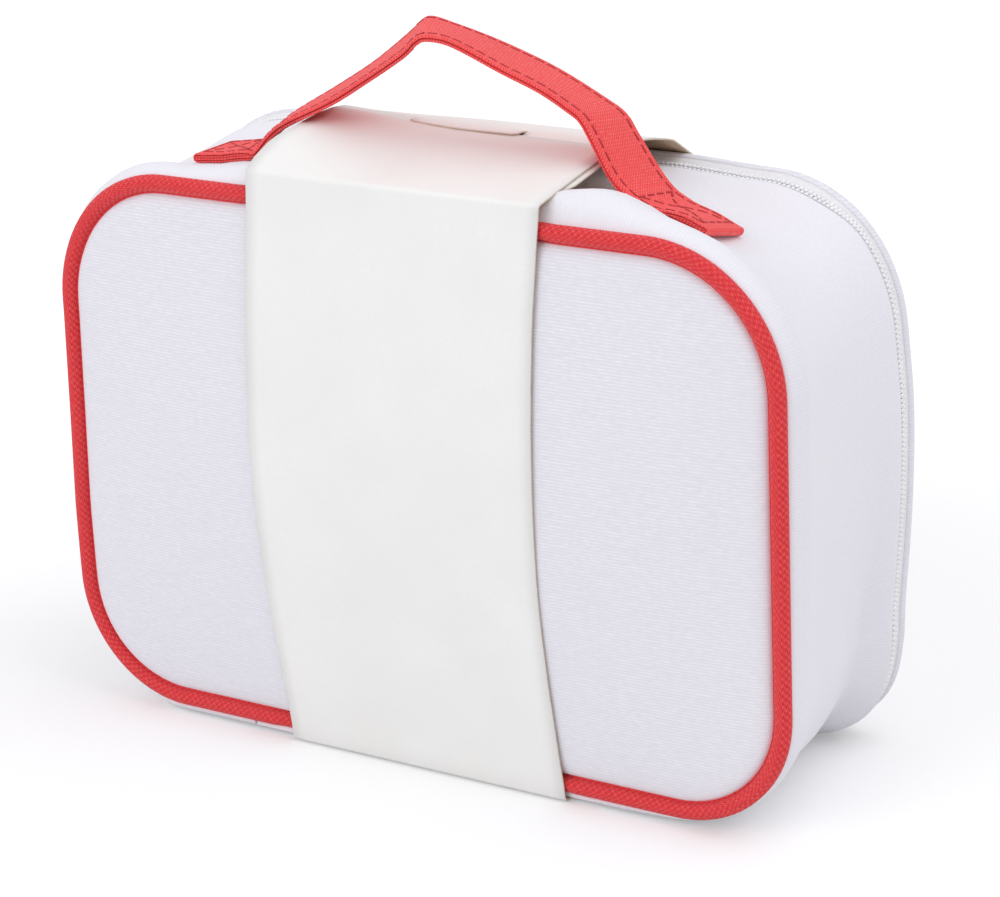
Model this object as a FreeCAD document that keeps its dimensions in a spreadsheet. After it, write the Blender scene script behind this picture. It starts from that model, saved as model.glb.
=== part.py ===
"""Toy doctor case: a soft zip case with piping, a strap handle and a card band.

Millimetres. +X is the case's length, -Y its piped back panel, +Y its lid and +Z is up.
The origin lies on the floor under the middle of the case.
"""
import FreeCAD, Part
import math
import os
import Sketcher

SIZES = {
    # outline of the case, measured on the middle of the piping
    "piping_width": 234,
    "piping_height": 159,
    "corner_radius_top": 38,
    "corner_radius_bottom": 33,
    "piping_diameter": 4.8,
    # places along the depth, from the middle of the case
    "back_depth": 38,
    "zip_centre": 34.5,
    "zip_reveal": 6.4,
    # padded walls and what backs them
    "wall_offset": 3,
    "wall_thickness": 2,
    "wall_waist": 6,
    "wall_lining": 0.6,
    "panel_thickness": 5,
    "panel_proud": 1,
    "panel_crown": 7.2,
    "back_edge_thickness": 3.6,
    "panel_edge_round": 2,
    "lid_crown": 4,
    "lid_offset": 1.5,
    "seam_gap": 0.2,
    "board_thickness": 1.5,
    "board_inset": 6.2,
    "panel_lining": 0.8,
    "binding_inset": 0.6,
    "binding_width": 4.6,
    "binding_thickness": 1.3,
    # cloth hinge under the case
    "hinge_width": 117,
    "hinge_thickness": 0.8,
    "hinge_depth_in_wall": 1.6,
    # zip
    "tape_thickness": 0.8,
    "tape_lap": 6,
    "tooth_gap": 1.2,
    "tooth_width": 0.9,
    "tooth_height": 2,
    "stop_length": 2.5,
    # zip slider and its pull tab
    "slider_bottom": 40,
    "slider_length": 10,
    "slider_width": 5.8,
    "slider_clearance": 0.4,
    "slider_plate": 1.2,
    "inner_plate": 1,
    "inner_plate_width": 2.6,
    "neck_width": 0.6,
    "neck_length": 3.6,
    "lug_width": 2,
    "lug_length": 3,
    "lug_stand": 2.2,
    "pin_diameter": 1,
    "pin_clearance": 0.3,
    "pull_length": 16,
    "pull_width": 6,
    "pull_thickness": 1.4,
    "pull_slot_clearance": 0.4,
    "pull_slot_length": 3,
    # strap handle
    "strap_width": 20,
    "strap_thickness": 2.4,
    "strap_middle": -4.5,
    "end_thickness": 4,
    "end_length_left": 23,
    "end_length_right": 27,
    "end_gap_left": 19.5,
    "end_gap_right": 15.5,
    "foot_gap": 1.1,
    "foot_rise": 2.1,
    "heel_out": 4,
    "heel_clearance": 3.2,
    "crown_x": -7,
    "crown_rise": 40.8,
    "shoulder_x": 19,
    "shoulder_rise": 34.2,
    "knee_out": 4.5,
    "knee_rise": 19.2,
    "grip_left": 18,
    "grip_right": 5,
    # card band
    "card_thickness": 0.6,
    "card_gap": 0.3,
    "card_split": 0.4,
    "sleeve_width": 95,
    "sleeve_gap": 0.5,
    "fold_rise": 4.1,
    "dome_rise": 6,
    "dome_shift": 5,
    "flap_gap": 0.4,
    "under_flap_length": 66,
    "top_flap_length": 36,
    "tab_width": 33,
    "tab_length": 8,
}

doc = FreeCAD.newDocument("ToyDoctorCase")
sheet = doc.addObject("Spreadsheet::Sheet", "Sizes")
for row, (alias, value) in enumerate(SIZES.items(), start=1):
    sheet.set(f"A{row}", alias)
    sheet.set(f"B{row}", str(value))
    sheet.setAlias(f"B{row}", alias)
doc.recompute()

# Places that several pieces share, as expressions on the sheet
CASE_BOTTOM = "(Sizes.card_thickness + Sizes.card_gap)"
CASE_TOP = f"({CASE_BOTTOM} + 2*Sizes.wall_offset + Sizes.piping_height)"
PIPING_Y = "(-Sizes.back_depth)"
WALL_START = f"({PIPING_Y} + Sizes.piping_diameter/2)"
WALL_END = "(Sizes.zip_centre - Sizes.zip_reveal/2)"
LID_START = "(Sizes.zip_centre + Sizes.zip_reveal/2)"
LID_FACE = f"({LID_START} + Sizes.panel_thickness)"
BACK_FACE = f"({PIPING_Y} - Sizes.panel_proud)"
BACK_INSIDE = f"({BACK_FACE} + Sizes.back_edge_thickness)"
WALL_INSIDE = "(Sizes.wall_offset - Sizes.wall_thickness)"
TAPE_START = f"({WALL_END} - Sizes.tape_lap)"
WAIST_WIDTH = f"({TAPE_START} - ({WALL_START}))"
WAIST_RADIUS = f"(({WAIST_WIDTH}^2/4 + Sizes.wall_waist^2)/(2*Sizes.wall_waist))"
CASE_TEETH = "(Sizes.zip_centre - Sizes.tooth_gap/2 - Sizes.tooth_width)"
LID_TEETH = "(Sizes.zip_centre + Sizes.tooth_gap/2)"
HINGE_HALF = "(Sizes.hinge_width/2)"
SLEEVE_HALF = "(Sizes.sleeve_width/2)"
SLEEVE_FOLD = f"({CASE_TOP} + Sizes.fold_rise)"
STRAP_NEAR = "(Sizes.strap_middle - Sizes.strap_width/2)"
# how deep the arched wall lies under the strap's middle line
STRAP_ASIDE = f"(Sizes.strap_middle - ({TAPE_START} + {WALL_START})/2)"
STRAP_SINK = f"(sqrt({WAIST_RADIUS}^2 - {STRAP_ASIDE}^2) - {WAIST_RADIUS} + Sizes.wall_waist)"


def number(expression):
    return float(sheet.evalExpression(expression))


def outline(offset):
    """The case's rounded outline, moved out by offset, as corners counter-clockwise from below."""
    half = f"(Sizes.piping_width/2 + ({offset}))"
    low = f"({CASE_BOTTOM} + Sizes.wall_offset - ({offset}))"
    high = f"({CASE_BOTTOM} + Sizes.wall_offset + Sizes.piping_height + ({offset}))"
    round_low = f"(Sizes.corner_radius_bottom + ({offset}))"
    round_high = f"(Sizes.corner_radius_top + ({offset}))"
    return [
        (f"-{half} + {round_low}", low),
        (f"{half} - {round_low}", low, round_low),
        (half, f"{low} + {round_low}"),
        (half, f"{high} - {round_high}", round_high),
        (f"{half} - {round_high}", high),
        (f"-{half} + {round_high}", high, round_high),
        (f"-{half}", f"{high} - {round_high}"),
        (f"-{half}", f"{low} + {round_low}", round_low),
    ]


def rectangle(left, right, low, high):
    return [(left, low), (right, low), (right, high), (left, high)]


def arc_between(start, end, radius, centre_on_left):
    """An arc of less than half a circle, drawn counter-clockwise round its centre."""
    chord = end - start
    reach = math.sqrt(max(radius**2 - chord.Length**2/4, 0))
    left = FreeCAD.Vector(-chord.y, chord.x, 0).normalize()
    centre = (start + end)*0.5 + left*(reach if centre_on_left else -reach)
    first, last = (start, end) if centre_on_left else (end, start)
    angles = [math.atan2(point.y - centre.y, point.x - centre.x) for point in (first, last)]
    circle = Part.Circle(centre, FreeCAD.Vector(0, 0, 1), radius)
    return Part.ArcOfCircle(circle, angles[0], angles[1])


def draw(sketch, corners, closed=True):
    """Lines and arcs through the corners, each corner and radius bound to the sheet.

    A corner is (across, up), or (across, up, radius) where an arc runs on from it. An arc's centre
    is on the left of its run, or on the right if a fourth value is given.
    """
    points = [FreeCAD.Vector(number(corner[0]), number(corner[1]), 0) for corner in corners]
    count = len(corners) if closed else len(corners) - 1
    ends = []
    for index in range(count):
        corner = corners[index]
        start = points[index]
        end = points[(index + 1) % len(points)]
        if len(corner) == 2:
            geometry = sketch.addGeometry(Part.LineSegment(start, end), False)
            ends.append((geometry, 1, 2))
            continue
        on_left = len(corner) == 3
        geometry = sketch.addGeometry(arc_between(start, end, number(corner[2]), on_left), False)
        ends.append((geometry, 1, 2) if on_left else (geometry, 2, 1))
        bind(sketch, Sketcher.Constraint("Radius", geometry, number(corner[2])), corner[2])
    for index in range(count):
        geometry, first, last = ends[index]
        place_point(sketch, geometry, first, corners[index], points[index])
        if closed or index + 1 < count:
            following = ends[(index + 1) % count]
            joint = Sketcher.Constraint("Coincident", geometry, last, following[0], following[1])
            sketch.addConstraint(joint)
        else:
            place_point(sketch, geometry, last, corners[-1], points[-1])


def place_point(sketch, geometry, end, corner, point):
    bind(sketch, Sketcher.Constraint("DistanceX", -1, 1, geometry, end, point.x), corner[0])
    bind(sketch, Sketcher.Constraint("DistanceY", -1, 1, geometry, end, point.y), corner[1])


def bind(sketch, constraint, expression):
    index = sketch.addConstraint(constraint)
    sketch.setExpression(f"Constraints[{index}]", expression)


def add_sketch(body, plane, start):
    """An empty sketch on one of the body's own planes, moved along the plane's axis to start."""
    sketch = body.newObject("Sketcher::SketchObject", f"{body.Name}_sketch")
    features = {feature.Role: feature for feature in body.Origin.OriginFeatures}
    sketch.AttachmentSupport = (features[plane], [""])
    sketch.MapMode = "FlatFace"
    # this plane's own axis points to -Y
    sign = "-" if plane == "XZ_Plane" else ""
    sketch.setExpression("AttachmentOffset.Base.z", f"{sign}({start})")
    return sketch


def add_pad(body, plane, loops, start, end):
    """A pad of the loops from start to end along the plane's axis."""
    sketch = add_sketch(body, plane, start)
    for loop in loops:
        draw(sketch, loop)
    pad = body.newObject("PartDesign::Pad", f"{body.Name}_pad")
    pad.Profile = sketch
    pad.Reversed = plane == "XZ_Plane"
    pad.setExpression("Length", f"({end}) - ({start})")
    body.Tip = pad
    return pad


def add_pocket(body, plane, loops, start, end):
    """A pocket of the loops from start to end along the plane's axis."""
    doc.recompute()
    before = body.Shape.Volume
    sketch = add_sketch(body, plane, start)
    for loop in loops:
        draw(sketch, loop)
    pocket = body.newObject("PartDesign::Pocket", f"{body.Name}_pocket")
    pocket.Profile = sketch
    pocket.Reversed = plane != "XZ_Plane"
    pocket.setExpression("Length", f"({end}) - ({start})")
    body.Tip = pocket
    doc.recompute()
    if body.Shape.Volume >= before:
        raise RuntimeError(f"the pocket of {body.Label} cuts nothing")


def new_body(label):
    body = doc.addObject("PartDesign::Body", label)
    body.Label = label
    nodes.append(body)
    return body


def prism(label, plane, loops, start, end):
    body = new_body(label)
    add_pad(body, plane, loops, start, end)
    return body


def open_below(body, half_width, start, end):
    """Cuts the bottom of a ring away between the two ends of the cloth hinge."""
    floor = f"({CASE_BOTTOM} - Sizes.card_gap)"
    middle = f"({CASE_TOP}/2)"
    gap = rectangle(f"-({half_width})", half_width, floor, middle)
    add_pocket(body, "XZ_Plane", [gap], start, end)


def round_edges_at(body, depth, radius):
    """Rounds the rim of the face that lies at this depth."""
    doc.recompute()
    base = body.Tip
    level = number(depth)
    names = []
    for index, edge in enumerate(base.Shape.Edges, start=1):
        box = edge.BoundBox
        if abs(box.YMin - level) < 1e-4 and abs(box.YMax - level) < 1e-4:
            names.append(f"Edge{index}")
    fillet = body.newObject("PartDesign::Fillet", f"{body.Name}_round")
    fillet.Base = (base, names)
    fillet.setExpression("Radius", radius)
    body.Tip = fillet


def crown_face(body, offset, face, rise, outward):
    """Domes a panel's outer face, from face at the rim to rise further out in the middle."""
    half = f"(Sizes.piping_width/2 + ({offset}))"
    low = f"({CASE_BOTTOM} + Sizes.wall_offset - ({offset}))"
    high = f"({low} + Sizes.piping_height + 2*({offset}))"
    clear = f"({face} {outward} ({rise} + Sizes.seam_gap))"
    tall = f"((({high} - {low})^2/4 + {rise}^2)/(2*{rise}))"
    wide = f"(({half}^2 + {rise}^2)/(2*{rise}))"
    upright = [(face, low, tall), (face, high), (clear, high), (clear, low)]
    level = [(f"-{half}", face, wide), (half, face), (half, clear), (f"-{half}", clear)]
    # both arcs have their centre inside the case
    turned = upright if outward == "-" else level
    turned[0] += ("centre on the right",)
    add_pocket(body, "YZ_Plane", [upright], f"-{half}", half)
    add_pocket(body, "XY_Plane", [level], low, high)


nodes = []


def make_back():
    panel_offset = "-(Sizes.piping_diameter/2 + Sizes.seam_gap)"
    crown = f"({BACK_FACE} - Sizes.panel_crown)"
    panel = prism("back_panel", "XZ_Plane", [outline(panel_offset)], crown, BACK_INSIDE)
    crown_face(panel, panel_offset, BACK_FACE, "Sizes.panel_crown", "-")
    inset = outline("-Sizes.board_inset")
    board_end = f"{BACK_INSIDE} + Sizes.board_thickness"
    lining_end = f"{board_end} + Sizes.panel_lining"
    prism("back_stiffener_board", "XZ_Plane", [inset], BACK_INSIDE, board_end)
    prism("back_lining", "XZ_Plane", [inset], board_end, lining_end)
    binding_end = f"{BACK_INSIDE} + Sizes.binding_thickness"
    prism("back_seam_binding", "XZ_Plane", binding_loops(), BACK_INSIDE, binding_end)


def binding_loops():
    return [
        outline("-Sizes.binding_inset"),
        outline("-Sizes.binding_inset - Sizes.binding_width"),
    ]


def make_piping():
    """A round cord swept along the outline."""
    body = new_body("back_piping")
    path = add_sketch(body, "XZ_Plane", PIPING_Y)
    corners = outline("0")
    draw(path, corners)
    profile = add_sketch(body, "YZ_Plane", corners[0][0])
    radius = number("Sizes.piping_diameter/2")
    centre = FreeCAD.Vector(number(PIPING_Y), number(corners[0][1]), 0)
    circle = profile.addGeometry(Part.Circle(centre, FreeCAD.Vector(0, 0, 1), radius), False)
    place_point(profile, circle, 3, (PIPING_Y, corners[0][1]), centre)
    bind(profile, Sketcher.Constraint("Radius", circle, radius), "Sizes.piping_diameter/2")
    doc.recompute()
    pipe = body.newObject("PartDesign::AdditivePipe", "back_piping_pipe")
    pipe.Profile = profile
    pipe.Spine = (path, [f"Edge{index + 1}" for index in range(len(path.Shape.Edges))])
    body.Tip = pipe
    doc.recompute()
    expected = math.pi*radius**2*path.Shape.Length
    print(f"piping volume {body.Shape.Volume:.0f}, section times length {expected:.0f}")


def wall_section(outer, inner, end, arched):
    """The wall cut through under the case, arched inward between the piping and the zip tape."""
    level = f"({CASE_BOTTOM} + Sizes.wall_offset)"
    low = f"({level} - ({outer}))"
    high = f"({level} - ({inner}))"
    bend = (WAIST_RADIUS,) if arched else ()
    turned = ("centre on the right",) if arched else ()
    corners = [(WALL_START, low) + bend + turned, (TAPE_START, low)]
    if end != TAPE_START:
        corners += [(end, low), (end, high)]
    return corners + [(TAPE_START, high) + bend, (WALL_START, high)]


def soft_wall(body, outer, inner, end):
    """Leads the arched section from one bottom corner over the top to the other."""
    corners = outline("0")
    path = add_sketch(body, "XZ_Plane", "0")
    draw(path, corners[1:] + corners[:1], closed=False)
    profile = add_sketch(body, "YZ_Plane", corners[1][0])
    draw(profile, wall_section(outer, inner, end, True))
    doc.recompute()
    pipe = body.newObject("PartDesign::AdditivePipe", f"{body.Name}_pipe")
    pipe.Profile = profile
    pipe.Spine = (path, [f"Edge{index + 1}" for index in range(len(path.Shape.Edges))])
    body.Tip = pipe


def flatten_below(body, outer, inner, end):
    """Eases the arched wall into the flat strip under the case, at both ends."""
    reach = outline("0")[1][0]
    for side in ("", "-"):
        arched = add_sketch(body, "YZ_Plane", f"{side}({reach})")
        draw(arched, wall_section(outer, inner, end, True))
        flat = add_sketch(body, "YZ_Plane", f"{side}{HINGE_HALF}")
        draw(flat, wall_section(outer, inner, end, False))
        doc.recompute()
        loft = body.newObject("PartDesign::AdditiveLoft", f"{body.Name}_ease")
        loft.Profile = arched
        loft.Sections = [(flat, [""])]
        loft.Ruled = True
        body.Tip = loft
        doc.recompute()


def make_side_wall():
    wall = new_body("gusset_wall")
    soft_wall(wall, "Sizes.wall_offset", WALL_INSIDE, WALL_END)
    flatten_below(wall, "Sizes.wall_offset", WALL_INSIDE, WALL_END)
    half = f"({HINGE_HALF} - Sizes.seam_gap)"
    top = f"{CASE_BOTTOM} + Sizes.wall_thickness"
    slab = rectangle(f"-{half}", half, CASE_BOTTOM, top)
    prism("bottom_panel", "XZ_Plane", [slab], WALL_START, WALL_END)
    lining = new_body("gusset_lining")
    lining_inside = f"({WALL_INSIDE} - Sizes.wall_lining)"
    soft_wall(lining, WALL_INSIDE, lining_inside, TAPE_START)
    flatten_below(lining, WALL_INSIDE, lining_inside, TAPE_START)
    strip_below = wall_section(WALL_INSIDE, lining_inside, TAPE_START, False)
    add_pad(lining, "YZ_Plane", [strip_below], f"-{HINGE_HALF}", HINGE_HALF)
    low = f"({CASE_BOTTOM} + Sizes.hinge_depth_in_wall)"
    strip = rectangle(f"-{half}", half, low, f"{low} + Sizes.hinge_thickness")
    prism("hinge_strip", "XZ_Plane", [strip], WALL_END, LID_START)


def make_zip():
    tape = [outline(WALL_INSIDE), outline(f"{WALL_INSIDE} - Sizes.tape_thickness")]
    teeth = [outline("Sizes.tooth_height"), outline("0")]
    teeth_end = f"{LID_TEETH} + Sizes.tooth_width"
    teeth_half = f"{HINGE_HALF} + Sizes.stop_length + 2*Sizes.seam_gap"
    rows = [
        ("zip_tape_case", tape, TAPE_START, CASE_TEETH, HINGE_HALF),
        ("zip_teeth_case", teeth, CASE_TEETH, f"{CASE_TEETH} + Sizes.tooth_width", teeth_half),
        ("zip_tape_lid", tape, teeth_end, LID_START, HINGE_HALF),
        ("zip_teeth_lid", teeth, LID_TEETH, teeth_end, teeth_half),
    ]
    for label, loops, start, end, half_width in rows:
        ring = prism(label, "XZ_Plane", loops, start, end)
        open_below(ring, half_width, start, end)
    near = f"({HINGE_HALF} + Sizes.seam_gap)"
    far = f"({near} + Sizes.stop_length)"
    low = f"({CASE_BOTTOM} + Sizes.wall_offset - Sizes.tooth_height)"
    high = f"({low} + Sizes.tooth_height)"
    stops = Part.makeCompound([])
    for left, right in ((f"-{far}", f"-{near}"), (near, far)):
        size = (number(f"{right} - {left}"), number("Sizes.tooth_width"), number(f"{high} - {low}"))
        corner = FreeCAD.Vector(number(left), number(CASE_TEETH), number(low))
        stops.add(Part.makeBox(*size, corner))
    # two loose solids in one node, which a body cannot hold
    node = doc.addObject("Part::Feature", "zip_end_stops")
    node.Label = "zip_end_stops"
    node.Shape = stops
    nodes.append(node)


def make_lid():
    panel = prism("lid_panel", "XZ_Plane", [outline("Sizes.lid_offset")], LID_START, LID_FACE)
    round_edges_at(panel, LID_FACE, "Sizes.panel_edge_round")
    cap_offset = "(Sizes.lid_offset - Sizes.panel_edge_round)"
    add_pad(panel, "XZ_Plane", [outline(cap_offset)], LID_FACE, f"{LID_FACE} + Sizes.lid_crown")
    crown_face(panel, cap_offset, LID_FACE, "Sizes.lid_crown", "+")
    inset = outline("-Sizes.board_inset")
    board_start = f"{LID_START} - Sizes.board_thickness"
    lining_start = f"{board_start} - Sizes.panel_lining"
    prism("lid_stiffener_board", "XZ_Plane", [inset], board_start, LID_START)
    prism("lid_lining", "XZ_Plane", [inset], lining_start, board_start)
    binding_start = f"{LID_START} - Sizes.binding_thickness"
    prism("lid_seam_binding", "XZ_Plane", binding_loops(), binding_start, LID_START)


def strap_end(label, layer, left, right):
    """A folded end of the strap: the stretch of a layer on the side wall between left and right."""
    block = doc.addObject("Part::Box", f"{label}_block")
    block.setExpression("Length", f"({right}) - ({left})")
    block.setExpression("Width", "Sizes.strap_width")
    block.setExpression("Height", f"{CASE_TOP}/2 + Sizes.end_thickness")
    block.setExpression("Placement.Base.x", left)
    block.setExpression("Placement.Base.y", STRAP_NEAR)
    block.setExpression("Placement.Base.z", f"{CASE_TOP}/2")
    end = doc.addObject("Part::Common", label)
    end.Label = label
    end.Base = layer
    end.Tool = block
    nodes.append(end)


def strap_run(label, points):
    """A flat strap swept along a bent path."""
    body = new_body(label)
    path = add_sketch(body, "XZ_Plane", "Sizes.strap_middle")
    draw(path, points, closed=False)
    first = FreeCAD.Vector(number(points[0][0]), number(points[0][1]), 0)
    second = FreeCAD.Vector(number(points[1][0]), number(points[1][1]), 0)
    slope = math.degrees(math.atan2(second.y - first.y, second.x - first.x))
    profile = body.newObject("Sketcher::SketchObject", f"{label}_profile")
    half_width = "Sizes.strap_width/2"
    half_thickness = "Sizes.strap_thickness/2"
    draw(profile, rectangle(f"-{half_width}", half_width, f"-{half_thickness}", half_thickness))
    # the section stands square to the first run, its width along Y
    along = FreeCAD.Rotation(FreeCAD.Vector(0, 1, 0), -slope)
    across, up, ahead = FreeCAD.Vector(0, 1, 0), FreeCAD.Vector(0, 0, 1), FreeCAD.Vector(1, 0, 0)
    square = FreeCAD.Rotation(across, up, ahead, "XYZ")
    base = FreeCAD.Vector(first.x, number("Sizes.strap_middle"), first.y)
    profile.Placement = FreeCAD.Placement(base, along.multiply(square))
    doc.recompute()
    pipe = body.newObject("PartDesign::AdditivePipe", f"{label}_pipe")
    pipe.Profile = profile
    pipe.Spine = (path, [f"Edge{index + 1}" for index in range(len(path.Shape.Edges))])
    pipe.Transition = "Right corner"
    body.Tip = pipe


def on_line(start, end, across):
    """The height of a straight run at the place across."""
    rise = f"(({end[1]}) - ({start[1]}))/(({end[0]}) - ({start[0]}))"
    return f"({start[1]}) + (({across}) - ({start[0]}))*{rise}"


def make_handle():
    layer = doc.addObject("PartDesign::Body", "strap_layer")
    soft_wall(layer, "(Sizes.wall_offset + Sizes.end_thickness)", "Sizes.wall_offset", TAPE_START)
    left_end = f"(-{SLEEVE_HALF} - Sizes.end_gap_left)"
    right_end = f"({SLEEVE_HALF} + Sizes.end_gap_right)"
    strap_end("handle_end_left", layer, f"{left_end} - Sizes.end_length_left", left_end)
    strap_end("handle_end_right", layer, right_end, f"{right_end} + Sizes.end_length_right")
    foot = f"({CASE_TOP} + Sizes.foot_rise - {STRAP_SINK})"
    left_foot = (f"({left_end} + Sizes.foot_gap)", foot)
    right_foot = (f"({right_end} - Sizes.foot_gap)", foot)
    # the strap rises clear of the card band's edges
    over_band = f"({SLEEVE_FOLD} + Sizes.dome_rise + Sizes.heel_clearance)"
    heel = (f"(-{SLEEVE_HALF} - Sizes.heel_out)", over_band)
    crown = ("Sizes.crown_x", f"({CASE_TOP} + Sizes.crown_rise)")
    shoulder = ("Sizes.shoulder_x", f"({CASE_TOP} + Sizes.shoulder_rise)")
    knee = (f"({SLEEVE_HALF} + Sizes.knee_out)", f"({CASE_TOP} + Sizes.knee_rise)")
    grip_start = "(Sizes.crown_x - Sizes.grip_left)"
    grip_end = "(Sizes.shoulder_x + Sizes.grip_right)"
    left_meet = (grip_start, on_line(heel, crown, grip_start))
    right_meet = (grip_end, on_line(shoulder, knee, grip_end))
    strap_run("handle_leg_left", [left_foot, heel, left_meet])
    strap_run("handle_grip", [left_meet, crown, shoulder, right_meet])
    strap_run("handle_leg_right", [right_meet, knee, right_foot])


def make_sleeve():
    """A card band in two halves, which part at the cloth hinge; its top flaps lie one on the other."""
    card = "Sizes.card_thickness"
    back = f"({PIPING_Y} - Sizes.piping_diameter/2 - Sizes.card_gap - {card})"
    front = f"({LID_FACE} + Sizes.card_gap + {card})"
    # both walls bow out over the crowned panels
    back_bow = f"({back} - ({BACK_FACE} - Sizes.panel_crown - Sizes.sleeve_gap - {card}))"
    front_bow = f"(({LID_FACE} + Sizes.lid_crown + Sizes.sleeve_gap + {card}) - {front})"
    # the top is highest behind the middle, so its front fold lies lower than the back one
    middle = f"(({front} + {back})/2 - Sizes.dome_shift)"
    reach = f"({middle} - {back})"
    dome = f"(({reach}^2 + Sizes.dome_rise^2)/(2*Sizes.dome_rise))"
    centre = f"({SLEEVE_FOLD} + Sizes.dome_rise - {dome})"
    under = f"({dome} - {card})"
    over_low = f"({dome} + Sizes.flap_gap)"
    over_high = f"({over_low} + {card})"

    def height(radius, depth):
        return f"({centre} + sqrt({radius}^2 - (({depth}) - {middle})^2))"

    def bowed(outer, inner, start, end, bow):
        radius = f"((({end} - {start})^2/4 + {bow}^2)/(2*{bow}))"
        hollow = "centre on the right"
        return [(outer, start, radius, hollow), (outer, end), (inner, end, radius), (inner, start)]

    def flap(inner, outer, start, end):
        return [
            (start, height(inner, start), inner, "centre on the right"),
            (end, height(inner, end)),
            (end, height(outer, end), outer),
            (start, height(outer, start)),
        ]

    split_back = "(Sizes.zip_centre - Sizes.card_split/2)"
    split_front = "(Sizes.zip_centre + Sizes.card_split/2)"
    body = new_body("sleeve_back")
    floor = rectangle(back, split_back, "0", card)
    wall_top = f"({SLEEVE_FOLD} - {card}/2)"
    wall = bowed(back, f"({back} + {card})", "0", wall_top, back_bow)
    top = flap(under, dome, back, f"({back} + Sizes.under_flap_length)")
    for loop in (floor, wall, top):
        add_pad(body, "YZ_Plane", [loop], f"-{SLEEVE_HALF}", SLEEVE_HALF)

    body = new_body("sleeve_front")
    flap_edge = f"({front} - Sizes.top_flap_length)"
    tab_edge = f"({flap_edge} - Sizes.tab_length)"
    front_fold = height(over_high, front)
    floor = rectangle(split_front, front, "0", card)
    wall_top = f"({front_fold} - {card}/2)"
    # drawn from the top down, so that it bows to the other side
    wall = bowed(front, f"({front} - {card})", wall_top, "0", front_bow)
    top = flap(over_low, over_high, flap_edge, front)
    for loop in (floor, wall, top):
        add_pad(body, "YZ_Plane", [loop], f"-{SLEEVE_HALF}", SLEEVE_HALF)
    tab = flap(over_low, over_high, tab_edge, flap_edge)
    add_pad(body, "YZ_Plane", [tab], "-Sizes.tab_width/2", "Sizes.tab_width/2")


def make_slider():
    """Slider on the left run of the zip: two plates joined by a neck, and a lug for the pull tab."""
    teeth_out = "(-Sizes.piping_width/2 - Sizes.tooth_height)"
    teeth_in = "(-Sizes.piping_width/2)"
    plate_in = f"({teeth_out} - Sizes.slider_clearance)"
    plate_out = f"({plate_in} - Sizes.slider_plate)"
    inner_out = f"({teeth_in} + Sizes.slider_clearance)"
    inner_in = f"({inner_out} + Sizes.inner_plate)"
    low = "Sizes.slider_bottom"
    high = "(Sizes.slider_bottom + Sizes.slider_length)"

    def across(width):
        return f"Sizes.zip_centre - {width}/2", f"Sizes.zip_centre + {width}/2"

    body = new_body("zip_slider")
    near, far = across("Sizes.slider_width")
    outer = rectangle(plate_out, plate_in, low, high)
    add_pad(body, "XZ_Plane", [outer], near, far)
    near, far = across("Sizes.neck_width")
    neck = rectangle(plate_in, inner_out, f"{high} - Sizes.neck_length", high)
    add_pad(body, "XZ_Plane", [neck], near, far)
    near, far = across("Sizes.inner_plate_width")
    inner = rectangle(inner_out, inner_in, low, high)
    add_pad(body, "XZ_Plane", [inner], near, far)
    lug_out = f"({plate_out} - Sizes.lug_stand)"
    pin_x = f"({plate_out} - Sizes.lug_stand/2)"
    pin_z = f"({low} + Sizes.lug_length/2)"
    near, far = across("Sizes.lug_width")
    lug = rectangle(lug_out, plate_out, low, f"{low} + Sizes.lug_length")
    hole = ring_loop(pin_x, pin_z, "(Sizes.pin_diameter/2 + Sizes.pin_clearance)")
    add_pad(body, "XZ_Plane", [lug, hole], near, far)

    pull = new_body("zip_pull_tab")
    slot = "(Sizes.lug_width + 2*Sizes.pull_slot_clearance)"
    half_thick = "(Sizes.pull_thickness/2)"
    arm_low = f"({pin_z} - Sizes.pull_slot_length)"
    pull_low = f"({pin_z} - Sizes.pull_length)"
    near, far = across("Sizes.pull_width")
    slot_near, slot_far = across(slot)
    left = f"{pin_x} - {half_thick}"
    right = f"{pin_x} + {half_thick}"
    plate = rectangle(left, right, pull_low, arm_low)
    add_pad(pull, "XZ_Plane", [plate], near, far)
    arm = [
        (left, arm_low),
        (right, arm_low),
        (right, pin_z, half_thick),
        (pin_x, f"{pin_z} + {half_thick}", half_thick),
        (left, pin_z),
    ]
    add_pad(pull, "XZ_Plane", [arm], near, slot_near)
    add_pad(pull, "XZ_Plane", [arm], slot_far, far)
    pin = ring_loop(pin_x, pin_z, "(Sizes.pin_diameter/2)")
    add_pad(pull, "XZ_Plane", [pin], slot_near, slot_far)


def ring_loop(across, up, radius):
    """A circle as two pairs of quarter arcs."""
    return [
        (f"{across} + {radius}", up, radius),
        (across, f"{up} + {radius}", radius),
        (f"{across} - {radius}", up, radius),
        (across, f"{up} - {radius}", radius),
    ]


make_back()
make_piping()
make_side_wall()
make_zip()
make_lid()
make_handle()
make_sleeve()
make_slider()
doc.recompute()

for item in doc.Objects:
    if "Invalid" in item.State or "Error" in item.State:
        raise RuntimeError(f"{item.Label} failed: {item.State}")
for node in nodes:
    if node.Shape.isNull() or not node.Shape.isValid():
        raise RuntimeError(f"{node.Label} has no valid shape")

os.makedirs("parts", exist_ok=True)
for node in nodes:
    node.Shape.exportStep(f"parts/{node.Label}.step")
    print(f"{node.Label}: {len(node.Shape.Solids)} solid(s), {node.Shape.Volume:.1f} mm3")
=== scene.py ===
import math

import bmesh
import bpy
from mathutils import Matrix, Vector, noise
from mathutils.bvhtree import BVHTree


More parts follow.
